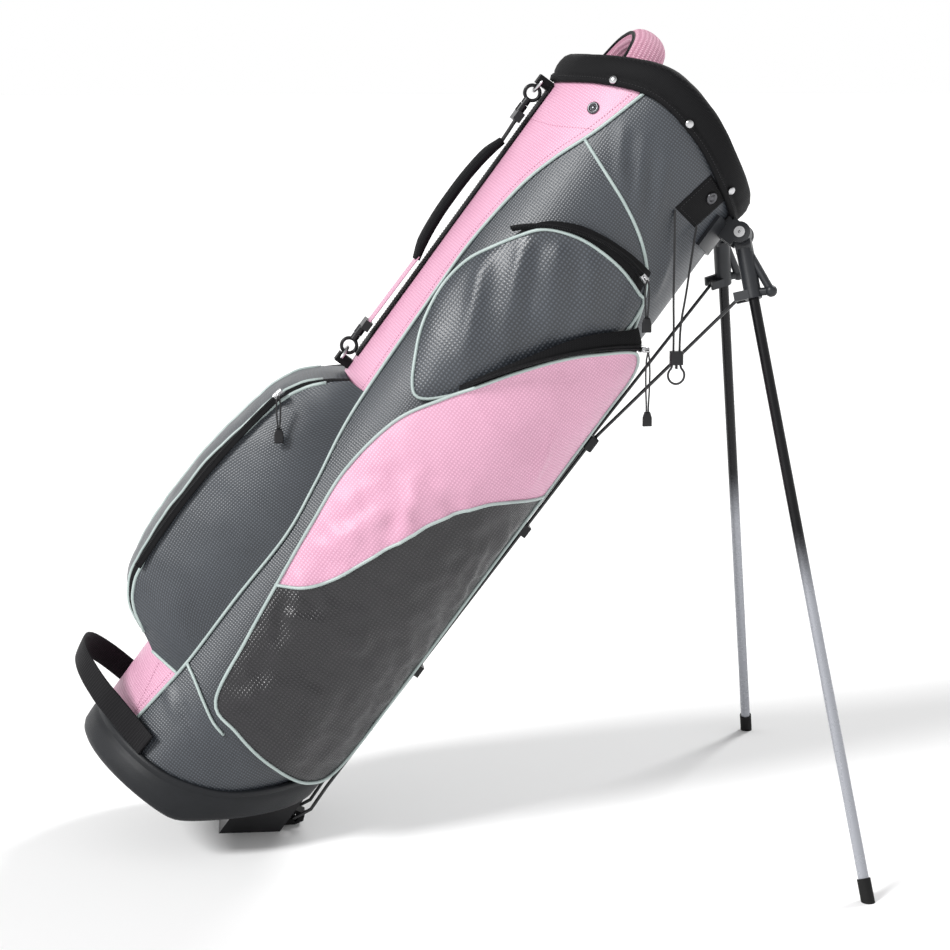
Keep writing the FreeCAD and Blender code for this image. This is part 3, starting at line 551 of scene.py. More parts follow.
# Soft folds of the cloth: the places where each starts and ends, its half width and its height.
FOLD_STRENGTH = 1.5
BODY_FOLDS = [
    ((-116, 812), (-90, 748), 5, 2.6), ((-104, 818), (-80, 742), 6, 2.8), ((-91, 818), (-68, 740), 5, 2.4),
    ((-62, 768), (-40, 690), 6, 2.2), ((-110, 806), (-86, 746), 4, -1.8), ((-98, 810), (-75, 742), 4, -1.6),
    ((-126, 108), (-100, 82), 2.5, -1.6), ((-138, 110), (-118, 90), 5, 1.2), ((60, 470), (20, 380), 9, 2.0),
    ((110, 800), (78, 748), 8, 2.4), ((92, 812), (60, 742), 7, 2.2), ((62, 800), (42, 710), 8, 2.0),
]
DOME_FOLDS = [
    ((-134, 650), (-106, 530), 7, 2.6), ((-124, 690), (-94, 560), 7, 2.8),
    ((-108, 700), (-82, 596), 7, 2.6), ((-92, 700), (-68, 632), 7, 2.0), ((-116, 690), (-92, 590), 4, -2.0),
    ((-98, 700), (-76, 620), 4, -1.8),
]
APPAREL_FOLDS = [
    ((-112, 262), (-98, 210), 6, -2.5), ((-110, 300), (-94, 400), 7, 3.0), ((-96, 440), (-80, 330), 6, 2.8),
    ((-58, 540), (-46, 470), 6, 2.6), ((-60, 200), (-95, 180), 9, 1.8), ((-108, 240), (-86, 260), 4, 2.2),
    ((-84, 300), (-68, 250), 5, 2.2), ((-50, 420), (-36, 330), 5, 2.4), ((-100, 160), (-70, 140), 6, 1.8),
]


def folds(u, v, table):
    return FOLD_STRENGTH * sum(fold(u, v, *place) for place in table)


def side_radius(u, v, d):
    return SKIN_R + wrinkles(u, v, 70, 0.6, 1.0, 1.6) + folds(u, v, BODY_FOLDS)


def cuff_low(angle):
    return rim_z(angle) - CUFF_HEIGHT


def tube_skins():
    seam = smooth_line(SPINE_SEAM)
    top = [(a, cuff_low(a) + 6) for a in range(118, 243, 4)]
    left = [(360 - a, z) for a, z in seam]
    foot = [(a, 36.0) for a in range(145, 216, 5)]
    spine = skin("spine_cloth", seam[2:] + foot + left[:1:-1] + top[::-1], spine_radius, PINK)
    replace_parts(spine, "spine_panel")
    bottom = [(a, boot_rim_z(a) - 4) for a in range(-136, 137, 4)]
    crown = [(a, cuff_low(a) + 6) for a in range(-112, 113, 4)]
    outline = [(-a, z) for a, z in seam[2:]] + bottom + seam[:1:-1] + crown[::-1]
    side = skin("side_cloth", outline, side_radius, GREY)
    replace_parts(side, "left_panel", "right_panel", "belly_panel")
    for sign, where in ((1, "right"), (-1, "left")):
        line = [(sign * a, z) for a, z in seam if z < cuff_low(a) + 4]
        rod(f"{where}_spine_piping", on_surface(line, SKIN_R + 1.3), PIPING_R, PIPING)
        inner = [(sign * (a + 4), z) for a, z in seam if 50 < z < cuff_low(a) - 2]
        stitches(f"{where}_spine_stitches", on_surface(inner, SKIN_R + 0.6), PINK_THREAD)
        yoke = [(sign * 178, 764), (sign * 160, 767), (sign * 145, 773), (sign * 125, 790)]
        stitches(f"{where}_yoke_stitches", on_surface(smooth_line(yoke), SKIN_R + 0.5), PINK_THREAD)
        foot = [(sign * 150, 116), (sign * 146, 90), (sign * 143, 66)]
        stitches(f"{where}_foot_stitches", on_surface(smooth_line(foot), SKIN_R + 0.5), PINK_THREAD)
        foot = [(sign * a, z) for a, z in ((133.5, 139), (124, 132), (113, 121), (103, 111), (95, 107))]
        rod(f"{where}_foot_piping", on_surface(smooth_line(foot), SKIN_R + 1.3), PIPING_R, PIPING)

    def on_side(a, z):
        return side_radius(arc(a), z, 0) + 0.9
    rod("upper_seam_piping", on_surface(smooth_line(UPPER_SEAM), on_side), PIPING_R, PIPING)
    right_seam = smooth_line([(-a, z) for a, z in UPPER_SEAM])
    stitches("right_seam_stitches", on_surface(right_seam, on_side), THREAD)


def liner():
    """The tube's lining, seen through its mouth."""
    columns = 72
    rows = [0.0, 0.3, 0.6, 0.9, 1.0]
    points, uvs = [], []
    for t in rows:
        for k in range(columns + 1):
            angle = 360 * k / columns
            low, high = sole_z(angle, LINER_R) + 6, rim_z(angle, LINER_R) - 12
            z = low + (high - low) * t
            points.append(on_tube(angle, z, LINER_R))
            uvs.append((math.radians(angle) * LINER_R * MM, z * MM))
    obj = add_mesh("inner_lining", points, grid_faces(len(rows), columns + 1), LINER, uvs)


def ring_mesh(name, profile, mat, columns=144):
    """A band round the tube. profile(angle) gives its section's (radius, z) points."""
    points, uvs = [], []
    sections = [profile(360 * k / columns) for k in range(columns)]
    rows = len(sections[0])
    for r in range(rows):
        for k in range(columns):
            radius, z = sections[k][r]
            points.append(on_tube(360 * k / columns, z, radius))
            uvs.append((math.radians(360 * k / columns) * TUBE_R * MM, z * MM + radius * MM))
    return add_mesh(name, points, grid_faces(rows, columns, True), mat, uvs)


def cuff_profile(angle):
    low, high = cuff_low(angle), rim_z(angle)
    puff = wrinkles(arc(angle), 0, 26, 0.7, 7.0)
    soft = wrinkles(arc(angle), 40, 18, 0.6, 9.0)
    outside = [(110.8, low + 2), (112.5, low - 0.2), (115.6, low), (116.9, low + 3),
               (116.9 + puff * 0.4, low + 6.5), (115.9, low + 8), (117.0 + puff * 0.5, low + 9.5),
               (118.2 + puff, low + 15), (118.3 + soft, low + 21), (117.2 + puff, high - 6)]
    over = [(114.5 + soft * 0.6, high - 1.5), (109.5, high + 0.6 + soft), (104.5 + puff * 0.5, high - 1.2)]
    return outside + over + [(101.2, high - 6), (CUFF_INNER_R, high - 14), (CUFF_INNER_R, low + 6),
                             (102.8, low), (107.0, low - 4)]


def boot_profile(angle):
    rim, sole = boot_rim_z(angle), sole_z(angle)
    soft = wrinkles(arc(angle), 0, 40, 0.5, 5.0)
    middle, sway = (rim + sole) / 2, (rim - sole) * 0.1
    lip = [(-5, rim - 3), (-4.2, rim + 0.6), (-2.2, rim + 1.6), (-0.2, rim + 0.4), (0.3, rim - 3)]
    groove = [(-0.8, rim - 6.2), (-0.9, rim - 7.2), (0.3, rim - 9.5)]
    wall = [(0.8 + soft, middle + sway), (0.6 + soft, middle - sway)]
    edge = [(0.1, sole + 7), (-1.6, sole + 3.2), (-4.5, sole + 1), (-9, sole + 0.2)]
    section = [(BOOT_R + r, z) for r, z in lip + groove + wall + edge]
    return section + [(r, sole_z(angle, r) + 0.2) for r in (95, 75, 50, 25, 5)]


def collar_and_boot():
    cuff = ring_mesh("padded_cuff", cuff_profile, BLACK)
    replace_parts(cuff, "collar_cuff", "collar_ring")
    boot = ring_mesh("moulded_boot", boot_profile, BOOT)
    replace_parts(boot, "base_boot")
    seam = [(a, cuff_low(a) + 4.2) for a in range(0, 361, 2)]
    stitches("cuff_stitches", on_surface(seam, CUFF_R - 0.6), THREAD)
    bars = (("divider_across", upright(-60, -84, 840), upright(-60, 84, 840), 7.5),
            ("divider_along", upright(-54, 0, 840), upright(99, 0, 826), 5.5))
    made = []
    for name, start, end, half in bars:
        path = [start.lerp(end, k / 12) for k in range(13)]
        made.append(sweep(name, path, heading(0, 0, 1), 7.0, half, BLACK, power=3.0))
    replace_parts(made[0], "divider_bars")


# ---- pockets
def arc_points(name, steps=60):
    """Row-frame points on the circle through a zip's three places, and the circle's axis."""
    a, b, c = [on_tube(angle, z, radius) for radius, angle, z in ZIPS[name]]
    normal = (b - a).cross(c - b).normalized()
    ab, bc = (a + b) / 2, (b + c) / 2
    centre = geometry.intersect_line_line(ab, ab + (b - a).cross(normal), bc, bc + (c - b).cross(normal))[0]
    first = a - centre
    turn = first.angle(b - centre) + (b - centre).angle(c - centre)
    return [centre + Matrix.Rotation(turn * k / steps, 3, normal) @ first for k in range(steps + 1)], normal


SLIDER_ROOM = 4.0           # from a zip's middle down to the cloth under its slider


def toward_zip(name, reach=10.0):
    """Lifts a radius at a place on the cloth so that the cloth near a zip rises to lie under it."""
    places = [STAND.inverted() @ p / MM for p in arc_points(name)[0]]
    tree = nearest([(math.atan2(p.y, p.x) * TUBE_R, p.z) for p in places])

    def lifted(u, v, radius):
        _, k, distance = tree.find((u, v, 0))
        room = math.hypot(places[k].x, places[k].y) - SLIDER_ROOM - radius
        return radius + max(0.0, room) * math.exp(-(distance / reach) ** 2)
    return lifted


def gusset(name, low, high, low_radius, high_radius, lift, mat, steps=8):
    """Pleated cloth that spans from one (angle, height) line to another of as many places, under a zip."""
    points, uvs = [], []
    for (a, z), (b, w) in zip(low, high):
        for k in range(steps):
            t = k / (steps - 1)
            angle, height = a + (b - a) * t, z + (w - z) * t
            radius = low_radius + (high_radius - low_radius) * t + 0.5 * math.sin(5 * math.pi * t)
            points.append(on_tube(angle, height, lift(arc(angle), height, radius)))
            uvs.append((arc(a) * MM, height * MM))
    return add_mesh(name, points, grid_faces(len(low), steps), mat, uvs)


def pocket_wall(name, outline, top, mat):
    """The gusset between the tube and a pocket's face. top(angle, z) is the face's radius at its edge. Its
    foot lies under the edge, apart from the part over the belly, which is drawn out to the side."""
    steps = 5
    points, uvs, run = [], [], 0.0
    previous = outline[-1]
    for a, z in outline:
        run += math.hypot(arc(a - previous[0]), z - previous[1])
        previous = (a, z)
        outer = top(a, z)
        y = outer * math.sin(math.radians(a))
        foot = math.copysign(35.0, a) if abs(y) < 66 else a
        for k in range(steps):
            t = k / (steps - 1)
            radius = TUBE_R + (outer - TUBE_R) * t
            points.append(on_tube(foot + (a - foot) * t, z, radius))
            uvs.append((run * MM, radius * MM))
    last = (len(outline) - 1) * steps
    faces = [tuple(reversed(f)) for f in grid_faces(len(outline), steps)]
    faces += [(k, k + 1, last + k + 1, last + k) for k in range(steps - 1)]
    return add_mesh(name, points, faces, mat, uvs)


def from_edge(outline, a, z):
    """The distance of a place from the nearest point of an outline."""
    return min(math.hypot(arc(a - b), z - w) for b, w in outline)


def crowned(distance, rise, reach):
    """How far a padded face has risen at a distance from its edge."""
    t = min(distance / reach, 1)
    return rise * t * (2 - t)


APPAREL_R = 130.5           # radii of the pockets' edges
DOME_R = 117.2
ACCESSORY_R = 128.2


def apparel_pocket():
    lift = toward_zip("apparel")

    def edge(a, z):
        return lift(arc(a), z, APPAREL_R)

    def radius(u, v, d):
        low_down = min(1.0, max(0.0, (470 - v) / 60))
        creased = wrinkles(u, v, 30, 3.4, 11.0) + wrinkles(u, v, 16, 1.4, 13.0)
        soft = wrinkles(u, v, 52, 1.6, 12.0) + low_down * creased + folds(u, v, APPAREL_FOLDS)
        return lift(u, v, APPAREL_R + crowned(d, 5.0, 70) + soft * min(d / 15, 1))

    divide = smooth_line(APPAREL_DIVIDE)
    table = sorted(divide)
    outline = smooth_line(APPAREL_EDGE, closed=True)

    def kind(a, z):
        return int(z > between(table, a))
    face = skin("apparel_face", outline, radius, [DARK, PINK], kind, [divide[1:-1]], spacing=5.0)
    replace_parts(face, "apparel_pocket")
    pocket_wall("apparel_gusset", outline, edge, BLACK)
    rod("apparel_piping", on_surface(outline, lambda a, z: edge(a, z) + 0.7), PIPING_R, PIPING, closed=True)

    def lifted(a, z):
        return radius(arc(a), z, from_edge(outline, a, z)) + 0.7
    rod("apparel_divide_piping", on_surface(divide, lifted), PIPING_R, PIPING)
    low = smooth_line([(-101, 513), (-97, 527), (-87, 562), (-75, 596), (-62, 620), (-43, 642)])
    reach = len(low) - 1
    high = [(a - 2, z + 6 + 16 * k / reach) for k, (a, z) in enumerate(low)]
    gusset("apparel_zip_gusset", low, high, APPAREL_R + 0.1, 118.5, lift, BLACK)


def upper_pocket():
    lift = toward_zip("upper")

    def edge(a, z):
        return lift(arc(a), z, DOME_R)

    def radius(u, v, d):
        soft = wrinkles(u, v, 40, 0.9, 21.0) + folds(u, v, DOME_FOLDS)
        return lift(u, v, DOME_R + rounded(d, 40, 3.0) + soft * min(d / 15, 1))

    outline = smooth_line(UPPER_EDGE, closed=True)
    face = skin("dome_pocket_face", outline, radius, SHINY)
    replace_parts(face, "upper_pocket")
    pocket_wall("dome_pocket_gusset", outline, edge, BLACK)
    piping = on_surface(outline, lambda a, z: edge(a, z) + 0.8)
    rod("dome_pocket_piping", piping, PIPING_R, PIPING, closed=True)
    low = smooth_line([(-127, 653)] + UPPER_EDGE[5::-1])
    reach = len(low) - 1
    high = []
    for k, (a, z) in enumerate(low):
        run = k / reach
        opened = math.sin(min(1.0, 1.6 * run) * math.pi / 2)
        high.append((a - 6 * (1 - run) * opened, z + 0.5 + (7 + 16 * run ** 2) * opened))
    gusset("dome_zip_gusset", low, high, DOME_R + 0.2, 112.0, lift, BLACK)


# The hip pad's quilted lines, from their lower ends to their upper ones.
QUILTING = [
    ((40, 700), (150, 748)), ((40, 634), (150, 682)), ((40, 568), (150, 616)), ((44, 505), (150, 552)),
]


def hip_pad():
    def radius(u, v, d):
        line = 0.0
        for (a0, z0), (a1, z1) in QUILTING:
            t = (u - arc(a0)) / (arc(a1) - arc(a0))
            height = z0 + (z1 - z0) * t + 10 * math.sin(t * math.pi)
            line = max(line, math.exp(-((v - height) / 3.2) ** 2))
        return 111.2 + rounded(d, 12, 4.2) - 3.6 * line * min(d / 12, 1) + wrinkles(u, v, 45, 0.5, 31.0)

    outline = smooth_line(HIP_EDGE, closed=True)
    face = skin("hip_pad_mesh", outline, radius, MESH_PAD, spacing=4.5)
    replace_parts(face, "hip_pad")
    rod("hip_pad_binding", on_surface(outline, 111.9), 1.6, BINDING, closed=True)


def accessory_pocket():
    lift = toward_zip("accessory", 12.0)
    zip_line = smooth_line(ACCESSORY_ZIP)
    zip_table = sorted((z, a) for a, z in zip_line)
    band = smooth_line(POUCH_BAND)
    band_table = sorted(band)
    outline = smooth_line(ACCESSORY_EDGE, closed=True)
    half = 3.2

    def zip_angle(z):
        return between(zip_table, z)

    def kind(a, z):
        offset = a - zip_angle(z)
        if offset > half:
            return 1
        return 2 if offset > -half else 0

    def radius(u, v, d):
        soft = wrinkles(u, v, 42, 1.2, 41.0)
        return lift(u, v, ACCESSORY_R + crowned(d, 3.4, 60) + soft * min(d / 15, 1))

    def lifted(extra):
        def place(a, z):
            return radius(arc(a), z, max(0, from_edge(outline, a, z) - 1)) + extra
        return place

    creases = [[(a + s * half, z) for a, z in zip_line[2:-2]] for s in (-1, 1)]
    creases = [[p for p in line if 118 < p[1] < 452] for line in creases]
    face = skin("accessory_face", outline, radius, [GREY, PINK, BLACK], kind, creases, spacing=5.0)
    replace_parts(face, "accessory_pocket")
    pocket_wall("accessory_gusset", outline, lambda a, z: ACCESSORY_R, GREY)
    rod("accessory_piping", on_surface(outline, ACCESSORY_R + 0.8), PIPING_R, PIPING, closed=True)
    for k, line in enumerate(creases):
        rod(f"accessory_zip_piping_{k}", on_surface(line, lifted(0.8)), PIPING_R * 0.9, PIPING)
    pouch_edge = [(a, z) for a, z in outline
                  if z < between(band_table, a) - 4 and a < zip_angle(z) - half - 1]
    zip_side = [(zip_angle(z) - half - 1, z) for z in range(122, 262, 6)]
    top = [(a, z) for a, z in band if 31 < a < 109]

    def net_radius(u, v, d):
        return lifted(0.0)(angle_at(u), v) + 1.4 + wrinkles(u, v, 22, 1.1, 47.0) * min(d / 20, 1)
    pouch = skin("pouch_net", pouch_edge + zip_side + top[::-1], net_radius, NET, spacing=5.0)
    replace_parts(pouch, "mesh_pouch")
    path = on_surface([(a, z) for a, z in band if 30 < a < 110.5], lifted(2.2))
    sweep("pouch_elastic", path, heading(0, 0, 1), 5.0, 0.9, WEBBING)


BALL_LOW = 124
BALL_HIGH = 456
CORNER_COLUMNS = (9, 11)    # the columns of the ball pocket's grid where its zip's edges run
# How far the pocket's corners and its front stand out behind the tube: (height, distance towards the belly).
BALL_CORNER = [
    (124, -108), (132, -122), (146, -146), (165, -160), (185, -166), (230, -170), (300, -168), (350, -161),
    (400, -150), (425, -138), (446, -120), (456, -108),
]
BALL_FRONT = [
    (124, -110), (132, -126), (144, -150), (160, -167), (185, -175), (230, -179), (300, -177), (350, -170),
    (400, -158), (425, -146), (446, -126), (456, -110),
]


def ball_section(z):
    """Half of the ball pocket's section at a height, from the seam on the side to the middle of its front."""
    seam = between(sorted((h, a) for a, h in SPINE_SEAM), z)
    start = Vector((SKIN_R * math.cos(math.radians(seam)), SKIN_R * math.sin(math.radians(seam))))
    deep = between(BALL_CORNER, z)
    shrink = min(1.0, max(0.0, (-deep - 108) / 30))
    corner = Vector((min(deep, -108), 60 - 9.5 * shrink))
    inner = Vector((min(deep, -108) - 6 * shrink, 44))
    front = Vector((min(between(BALL_FRONT, z), -110.5), 0))
    points = []
    for k in range(9):
        t = k / 9
        p = start.lerp(corner, t)
        p.y += 5.0 * shrink * math.sin(math.pi * t)
        points.append(p)
    points += [corner, corner.lerp(inner, 0.5) + Vector((-1.2 * shrink, 1.0)), inner]
    for k in range(1, 7):
        t = k / 6
        points.append(Vector((inner.x + (front.x - inner.x) * math.sin(t * math.pi / 2), inner.y * (1 - t))))
    return points


def ball_pocket():
    rows = [BALL_LOW + (BALL_HIGH - BALL_LOW) * k / 66 for k in range(67)]
    points, uvs = [], []
    corner_lines = {(column, sign): [] for sign in (1, -1) for column in CORNER_COLUMNS}
    width = 0
    for z in rows:
        half = ball_section(z)
        whole = [(p.x, p.y) for p in half] + [(p.x, -p.y) for p in half[-2::-1]]
        width = len(whole)
        inset = min(1.0, (BALL_HIGH - z) / 30, (z - BALL_LOW) / 30)
        run = 0.0
        for k, (x, y) in enumerate(whole):
            run += math.dist(whole[k - 1], (x, y)) if k else 0.0
            edge = min(k, width - 1 - k) / 4
            soft = wrinkles(run, z, 38, 1.3, 51.0) * min(1.0, edge) * inset
            scale = 1 + soft / 160
            points.append(upright(x * scale, y * scale, z))
            uvs.append((run * MM, z * MM))
        for (column, sign), line in corner_lines.items():
            k = column if sign > 0 else width - 1 - column
            line.append(points[len(points) - width + k])
    banded = range(*CORNER_COLUMNS)
    indices = [int(min(c, width - 2 - c) in banded) for _ in rows[1:] for c in range(width - 1)]
    faces = [tuple(reversed(f)) for f in grid_faces(len(rows), width)]
    pocket = add_mesh("ball_pocket_cloth", points, faces, [GREY, BLACK], uvs, indices)
    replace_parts(pocket, "ball_pocket")
    for (column, sign), line in corner_lines.items():
        side = "right" if sign > 0 else "left"
        rod(f"ball_pocket_{side}_piping_{column}", line[2:-3], PIPING_R, PIPING)
    rod("ball_pocket_foot_piping", points[:width], PIPING_R, PIPING)


# ---- zips
def zips():
    for name in ZIPS:
        path, normal = arc_points(name)
        outward = [(p - upright(0, 0, (STAND.inverted() @ p).z / MM)).normalized() for p in path]
        tape = [p - o * 2.2 * MM for p, o in zip(path, outward)]
        obj = sweep(f"{name}_zip_tape", tape, normal.cross(path[1] - path[0]).normalized(), 3.6, 1.3, BINDING)
        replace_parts(obj, f"{name}_zip")
        stitches(f"{name}_zip_teeth", path, PLASTIC, pitch=1.6, length=1.0, radius=1.6)


PULLER_LENGTH = {"apparel": 72.0, "upper": 50.0, "accessory": 66.0, "ball": 46.0}
PULLER_OFFSET = 6.5         # how far a puller hangs out from its zip
BALL_PULLER_OFFSET = 15.0
TAB_LENGTH = 14.0
BRIDGE = ((-4, 3.2), (-2.5, 5.6), (2.5, 5.6), (4, 3.2))     # a slider's bridge, along the zip and out from it
CORD_BOW = [(0.2, 0.0), (1.5, 0.12), (2.0, 0.35), (1.7, 0.65), (1.0, 0.9), (0.9, 1.0)]


def pullers():
    """The sliders' bridges, and the doubled cords and moulded ends that hang from them."""
    for name, ((radius, angle, z), _, _) in ZIPS.items():
        path, _ = arc_points(name)
        outward = -STAND.to_3x3().col[1] if name == "ball" else outward_at(angle)
        lift = BALL_PULLER_OFFSET if name == "ball" else PULLER_OFFSET
        start = on_tube(angle, z, radius)
        top = start + outward * lift * MM
        end = top - Vector((0, 0, PULLER_LENGTH[name] * MM))
        tab_top = end + Vector((0, 0, TAB_LENGTH * MM))
        along = (path[1] - path[0]).normalized()
        side = Vector((1, 0, 0))
        bridge = [start + along * a * MM + outward * r * MM for a, r in BRIDGE]
        rod(f"{name}_slider_bridge", bridge, 0.9, NICKEL, body=f"{name}_slider")
        for offset in (-1, 1):
            cord = [top.lerp(tab_top, t) + side * offset * w * MM for w, t in CORD_BOW]
            hand = "r" if offset > 0 else "l"
            made = rod(f"{name}_pull_cord_{hand}", cord, 0.85, CORD, body=f"{name}_puller")
        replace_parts(made, f"{name}_puller")
        tab = [tab_top.lerp(end, k / 8) for k in range(9)]
        sweep(f"{name}_pull_tab", tab, side, 4.6, 2.1, PLASTIC, body=f"{name}_puller", power=4.0,
              taper=lambda t: 0.62 + 0.38 * min(1.0, t * 2.5))


# ---- straps and handles
def bag_path(points):
    """A smooth row-frame path through upright (x, y, z) places."""
    return [upright(*p) for p in curved([Vector(p) for p in points], lambda p, q: 8)]


def mirrored(half):
    """The other half of a path that ends on the bag's middle plane."""
    return [(x, -y, z) for x, y, z in half[-2::-1]]


def straps():
    sideways = Vector((0, 1, 0))
    handle = bag_path([(-119, 0, 588), (-124.5, 0, 608), (-127.4, 0, 635), (-128, 0, 660), (-127.4, 0, 685),
                       (-124.5, 0, 712), (-119, 0, 732)])

    def pinched(t):
        return 0.72 + 0.28 * min(1.0, math.sin(math.pi * t) * 2.2)
    pad = sweep("handle_pad", handle, sideways, 17.0, 5.2, MESH_PAD, taper=pinched, count=28)
    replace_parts(pad, "carry_handle")
    upper = bag_path([(-119, 0, 728), (-119.5, 0, 742), (-120.5, 0, 760)])
    lower = bag_path([(-119, 0, 592), (-119.5, 0, 565), (-120, 0, 535), (-120.5, 0, 505)])
    web = sweep("upper_webbing", upper, sideways, 12.0, 1.3, WEBBING)
    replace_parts(web, "strap_webbing")
    sweep("lower_webbing", lower, sideways, 14.0, 1.3, PINK)
    strip = bag_path([(-111.6, 0, z) for z in (476, 560, 640, 720, 805)])
    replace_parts(sweep("spine_webbing", strip, sideways, 14.0, 0.9, WEBBING), "spine_strip")
    for hand, edge in (("l", -12), ("r", 12)):
        seam = [p + Vector((0, edge * MM, 0)) - heading(0.9 * MM, 0, 0) for p in strip]
        stitches(f"spine_webbing_stitches_{hand}", seam, THREAD)
    loop = [(-64, 99.5, 52), (-78, 90, 54), (-100, 79, 58), (-130, 64, 64), (-155, 36, 70), (-164, 0, 73)]
    loop += mirrored(loop)
    up = heading(-0.2, 0, 1)
    web = sweep("grab_loop_webbing", bag_path(loop), up, 12.5, 1.4, WEBBING)
    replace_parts(web, "grab_loop")
    arch = [(-60, -75, 842), (-60, -68, 862), (-60, -48, 881), (-60, -24, 889), (-60, 0, 892)]
    arch += mirrored(arch)
    forward = heading(1, 0, 0)
    roll = sweep("lift_pad_mesh", bag_path(arch), forward, 18.0, 11.5, PINK_MESH, count=32, power=2.1)
    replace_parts(roll, "lift_pad")
    rod("lift_pad_binding", bag_path([(-78, y, z) for _, y, z in arch]), 2.0, BINDING)


# ---- fasteners
def fasteners():
    places = [(on_tube(s * a, z, CUFF_R - 0.6), outward_at(s * a))
              for s in (-1, 1) for a, z in ((131, 838), (89, 846), (48, 822))]
    dome = [(4.0, 0.0), (4.2, 0.8), (3.9, 1.5), (3.0, 2.2), (1.6, 2.7), (0.3, 2.8)]
    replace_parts(turned("dome_rivets", places, dome, NICKEL), "collar_rivets")
    places = [(on_tube(s * 133, 806, TUBE_R + 0.6), outward_at(s * 133)) for s in (-1, 1)]
    places += [(on_tube(a, z, TUBE_R + r), outward_at(a)) for a, z, r in ((56, 790, 0.6), (-53.5, 805, 1.8))]
    snap = [(6.2, 0.0), (6.3, 1.2), (5.6, 2.2), (4.6, 2.4), (3.6, 1.9), (3.3, 1.0), (2.9, 0.9), (2.4, 2.0),
            (1.4, 2.5), (0.2, 2.6)]
    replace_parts(turned("ring_snaps", places, snap, GUNMETAL), "hood_studs")
    cord_tab()


def cord_tab():
    """The patch under which the bungee's ends are sewn."""
    corners = [(-62.5, 822), (-42.5, 813), (-49.5, 773), (-68, 776)]
    outline = [(a + (b - a) * k / 8, z + (w - z) * k / 8)
               for (a, z), (b, w) in zip(corners, corners[1:] + corners[:1]) for k in range(8)]

    def radius(u, v, d):
        return side_radius(u, v, d) + 0.4 + rounded(d, 2, 1.2)
    tab = skin("cord_tab", outline, radius, BLACK, spacing=3.0)
    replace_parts(tab, "bungee_patch")
    inner = [(-55 + (a + 55) * 0.84, 797 + (z - 797) * 0.86) for a, z in outline]
    seam = on_surface(inner + inner[:1], lambda a, z: side_radius(arc(a), z, 0) + 1.7)
    stitches("cord_tab_stitches", seam, THREAD)


# ---- bungee cord
CORD_R = 1.1
# The cord's way down through its lock, round its loop and up again, in millimetres from its first sewn end.
CORD_ROUTE = [
    (0, 0, 0), (0.6, 1.2, -42), (0.4, 2.6, -84), (1.5, 4, -112), (1.5, 4, -151), (-3.5, 4, -156),
    (-3.5, 4, -163), (1.4, 4, -168), (7.6, 4, -168), (12.5, 4, -163), (12.5, 4, -156), (7.5, 4, -151),
    (7.5, 4, -112), (13.5, 8.5, -84), (19, 12.5, -48), (24.1, 15, -16.5),
]


def bungee_cord():
    start = on_tube(-67.5, 774, TUBE_R + 1.6)
    curve = bpy.data.curves.new("bungee_line", "CURVE")
    curve.dimensions = "3D"
    curve.bevel_depth = CORD_R * MM
    curve.bevel_resolution = 4
    curve.resolution_u = 12
    spline = curve.splines.new("NURBS")
    spline.points.add(len(CORD_ROUTE) - 1)
    for point, place in zip(spline.points, CORD_ROUTE):
        point.co = (*(start + Vector(place) * MM), 1)
    spline.order_u = 3
    spline.use_endpoint_u = True
    curve.materials.append(CORD)
    obj = bpy.data.objects.new("bungee_line", curve)
    bpy.context.scene.collection.objects.link(obj)
    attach(obj, BAG)
    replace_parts(obj, "bungee_cord")


# ---- finish of the CAD pieces
NODE_MATERIALS = (
    (BLACK, "divider_bars"),
    (BINDING, "ring_tabs"),
    (CHARCOAL, "stand_yoke", "left_leg_bracket", "right_leg_bracket"),
    (LEG_PAINT, "left_leg_tube", "right_leg_tube"),
    (ROD_BLACK, "push_wires", "left_push_rod", "right_push_rod"),
    (RUBBER, "stay_rods", "base_pedal", "left_leg_foot", "right_leg_foot"),
    (NICKEL, "upper_ring", "lower_ring", "pivot_pins", "pedal_pin", *[f"{name}_slider" for name in ZIPS]),
    (PLASTIC, "strap_eyes", "upper_hook", "lower_hook", "wire_junction", "wire_guides", "pedal_housing",
     "cord_lock", "cord_lock_button"),
)


def finish_nodes():
    for mat, *names in NODE_MATERIALS:
        for name in names:
            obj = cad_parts[name]
            obj.data.materials.clear()
            obj.data.materials.append(mat)


# ---- stage
FLOOR_HALF = 30             # in metres, so that its edges lie beyond every view
SUN_ANGLE = math.radians(16)
SUNS = (((-1.0, -0.62, 0.95), 2.9), ((0.9, 0.9, 1.1), 1.7))     # where each stands, and its strength


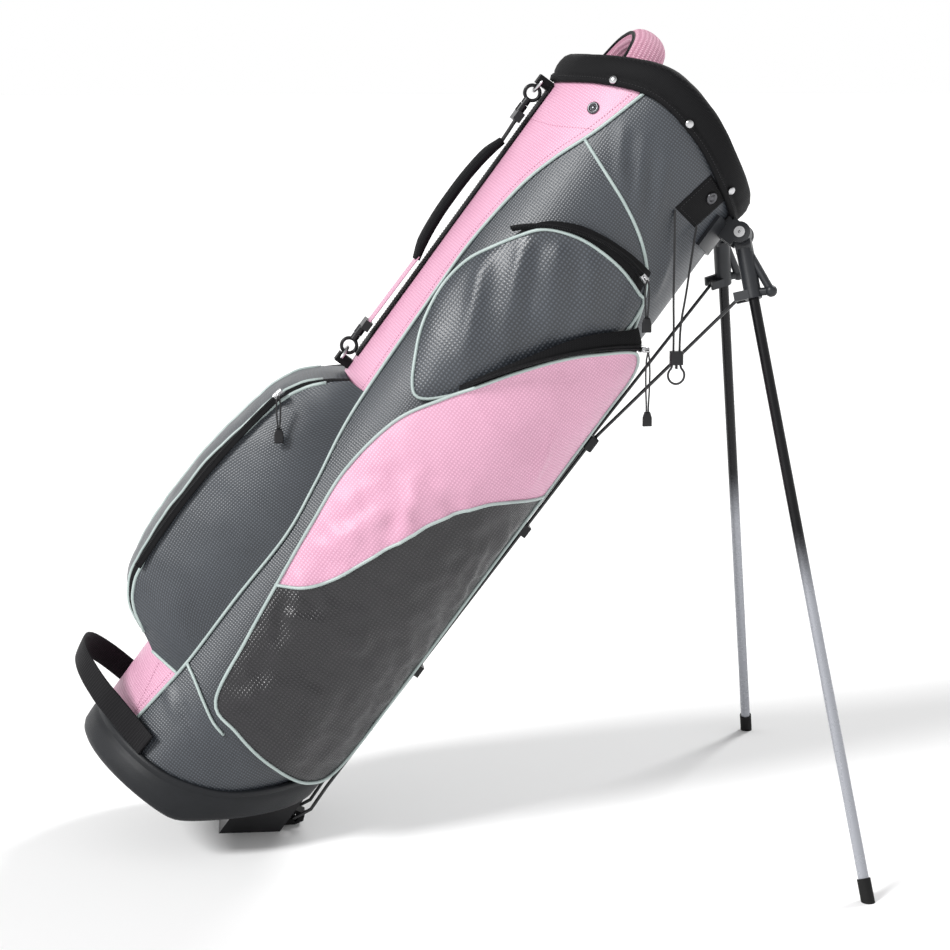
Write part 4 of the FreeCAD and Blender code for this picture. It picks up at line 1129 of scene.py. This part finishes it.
def stage():
    floor = bpy.data.meshes.new("floor")
    corners = [(x * FLOOR_HALF, y * FLOOR_HALF, 0) for x, y in ((-1, -1), (1, -1), (1, 1), (-1, 1))]
    floor.from_pydata(corners, [], [(0, 1, 2, 3)])
    paper = Shading("floor_paper", (0.92, 0.92, 0.92), 0.9, specular=0.1)
    paper.paint(paper.noise(paper.in_object(), 3), (0.91, 0.91, 0.91), (0.93, 0.93, 0.93))
    floor.materials.append(paper.material)
    obj = bpy.data.objects.new("floor", floor)
    bpy.context.scene.collection.objects.link(obj)
    bpy.context.scene.view_settings.view_transform = "Standard"
    studio_world()
    for k, (place, strength) in enumerate(SUNS):
        data = bpy.data.lights.new(f"soft_sun_{k}", "SUN")
        data.energy = strength
        data.angle = SUN_ANGLE
        lamp = bpy.data.objects.new(f"soft_sun_{k}", data)
        lamp.rotation_euler = (-Vector(place)).to_track_quat("-Z", "Y").to_euler()
        bpy.context.scene.collection.objects.link(lamp)


def studio_world():
    """A white surround that is brightest at the horizon and dims overhead."""
    world = bpy.data.worlds.new("studio")
    bpy.context.scene.world = world
    world.use_nodes = True
    nodes, links = world.node_tree.nodes, world.node_tree.links
    split = nodes.new("ShaderNodeSeparateXYZ")
    links.new(nodes.new("ShaderNodeTexCoord").outputs["Generated"], split.inputs[0])
    fade = nodes.new("ShaderNodeMapRange")
    for socket, value in zip(fade.inputs[1:5], (0.25, 0.8, 1.0, 0.3)):
        socket.default_value = value
    links.new(split.outputs[2], fade.inputs[0])
    links.new(fade.outputs[0], nodes["Background"].inputs[1])
    nodes["Background"].inputs[0].default_value = (1, 1, 1, 1)


CAMERA_PLACE = (-0.186, -2.272, 0.798)
CAMERA_YAW = math.radians(5.35)
CAMERA_PITCH = math.radians(10.81)
LENS = 86.9
SENSOR = 36


def camera():
    data = bpy.data.cameras.new("camera")
    data.sensor_width = SENSOR
    data.lens = LENS
    obj = bpy.data.objects.new("camera", data)
    obj.location = CAMERA_PLACE
    level = math.cos(CAMERA_PITCH)
    view = Vector((math.sin(CAMERA_YAW) * level, math.cos(CAMERA_YAW) * level, -math.sin(CAMERA_PITCH)))
    obj.rotation_euler = view.to_track_quat("-Z", "Y").to_euler()
    bpy.context.scene.collection.objects.link(obj)
    bpy.context.scene.camera = obj


camera()
bungee_cord()
stage()
tube_skins()
liner()
collar_and_boot()
apparel_pocket()
upper_pocket()
hip_pad()
accessory_pocket()
ball_pocket()
zips()
pullers()
straps()
fasteners()
finish_nodes()
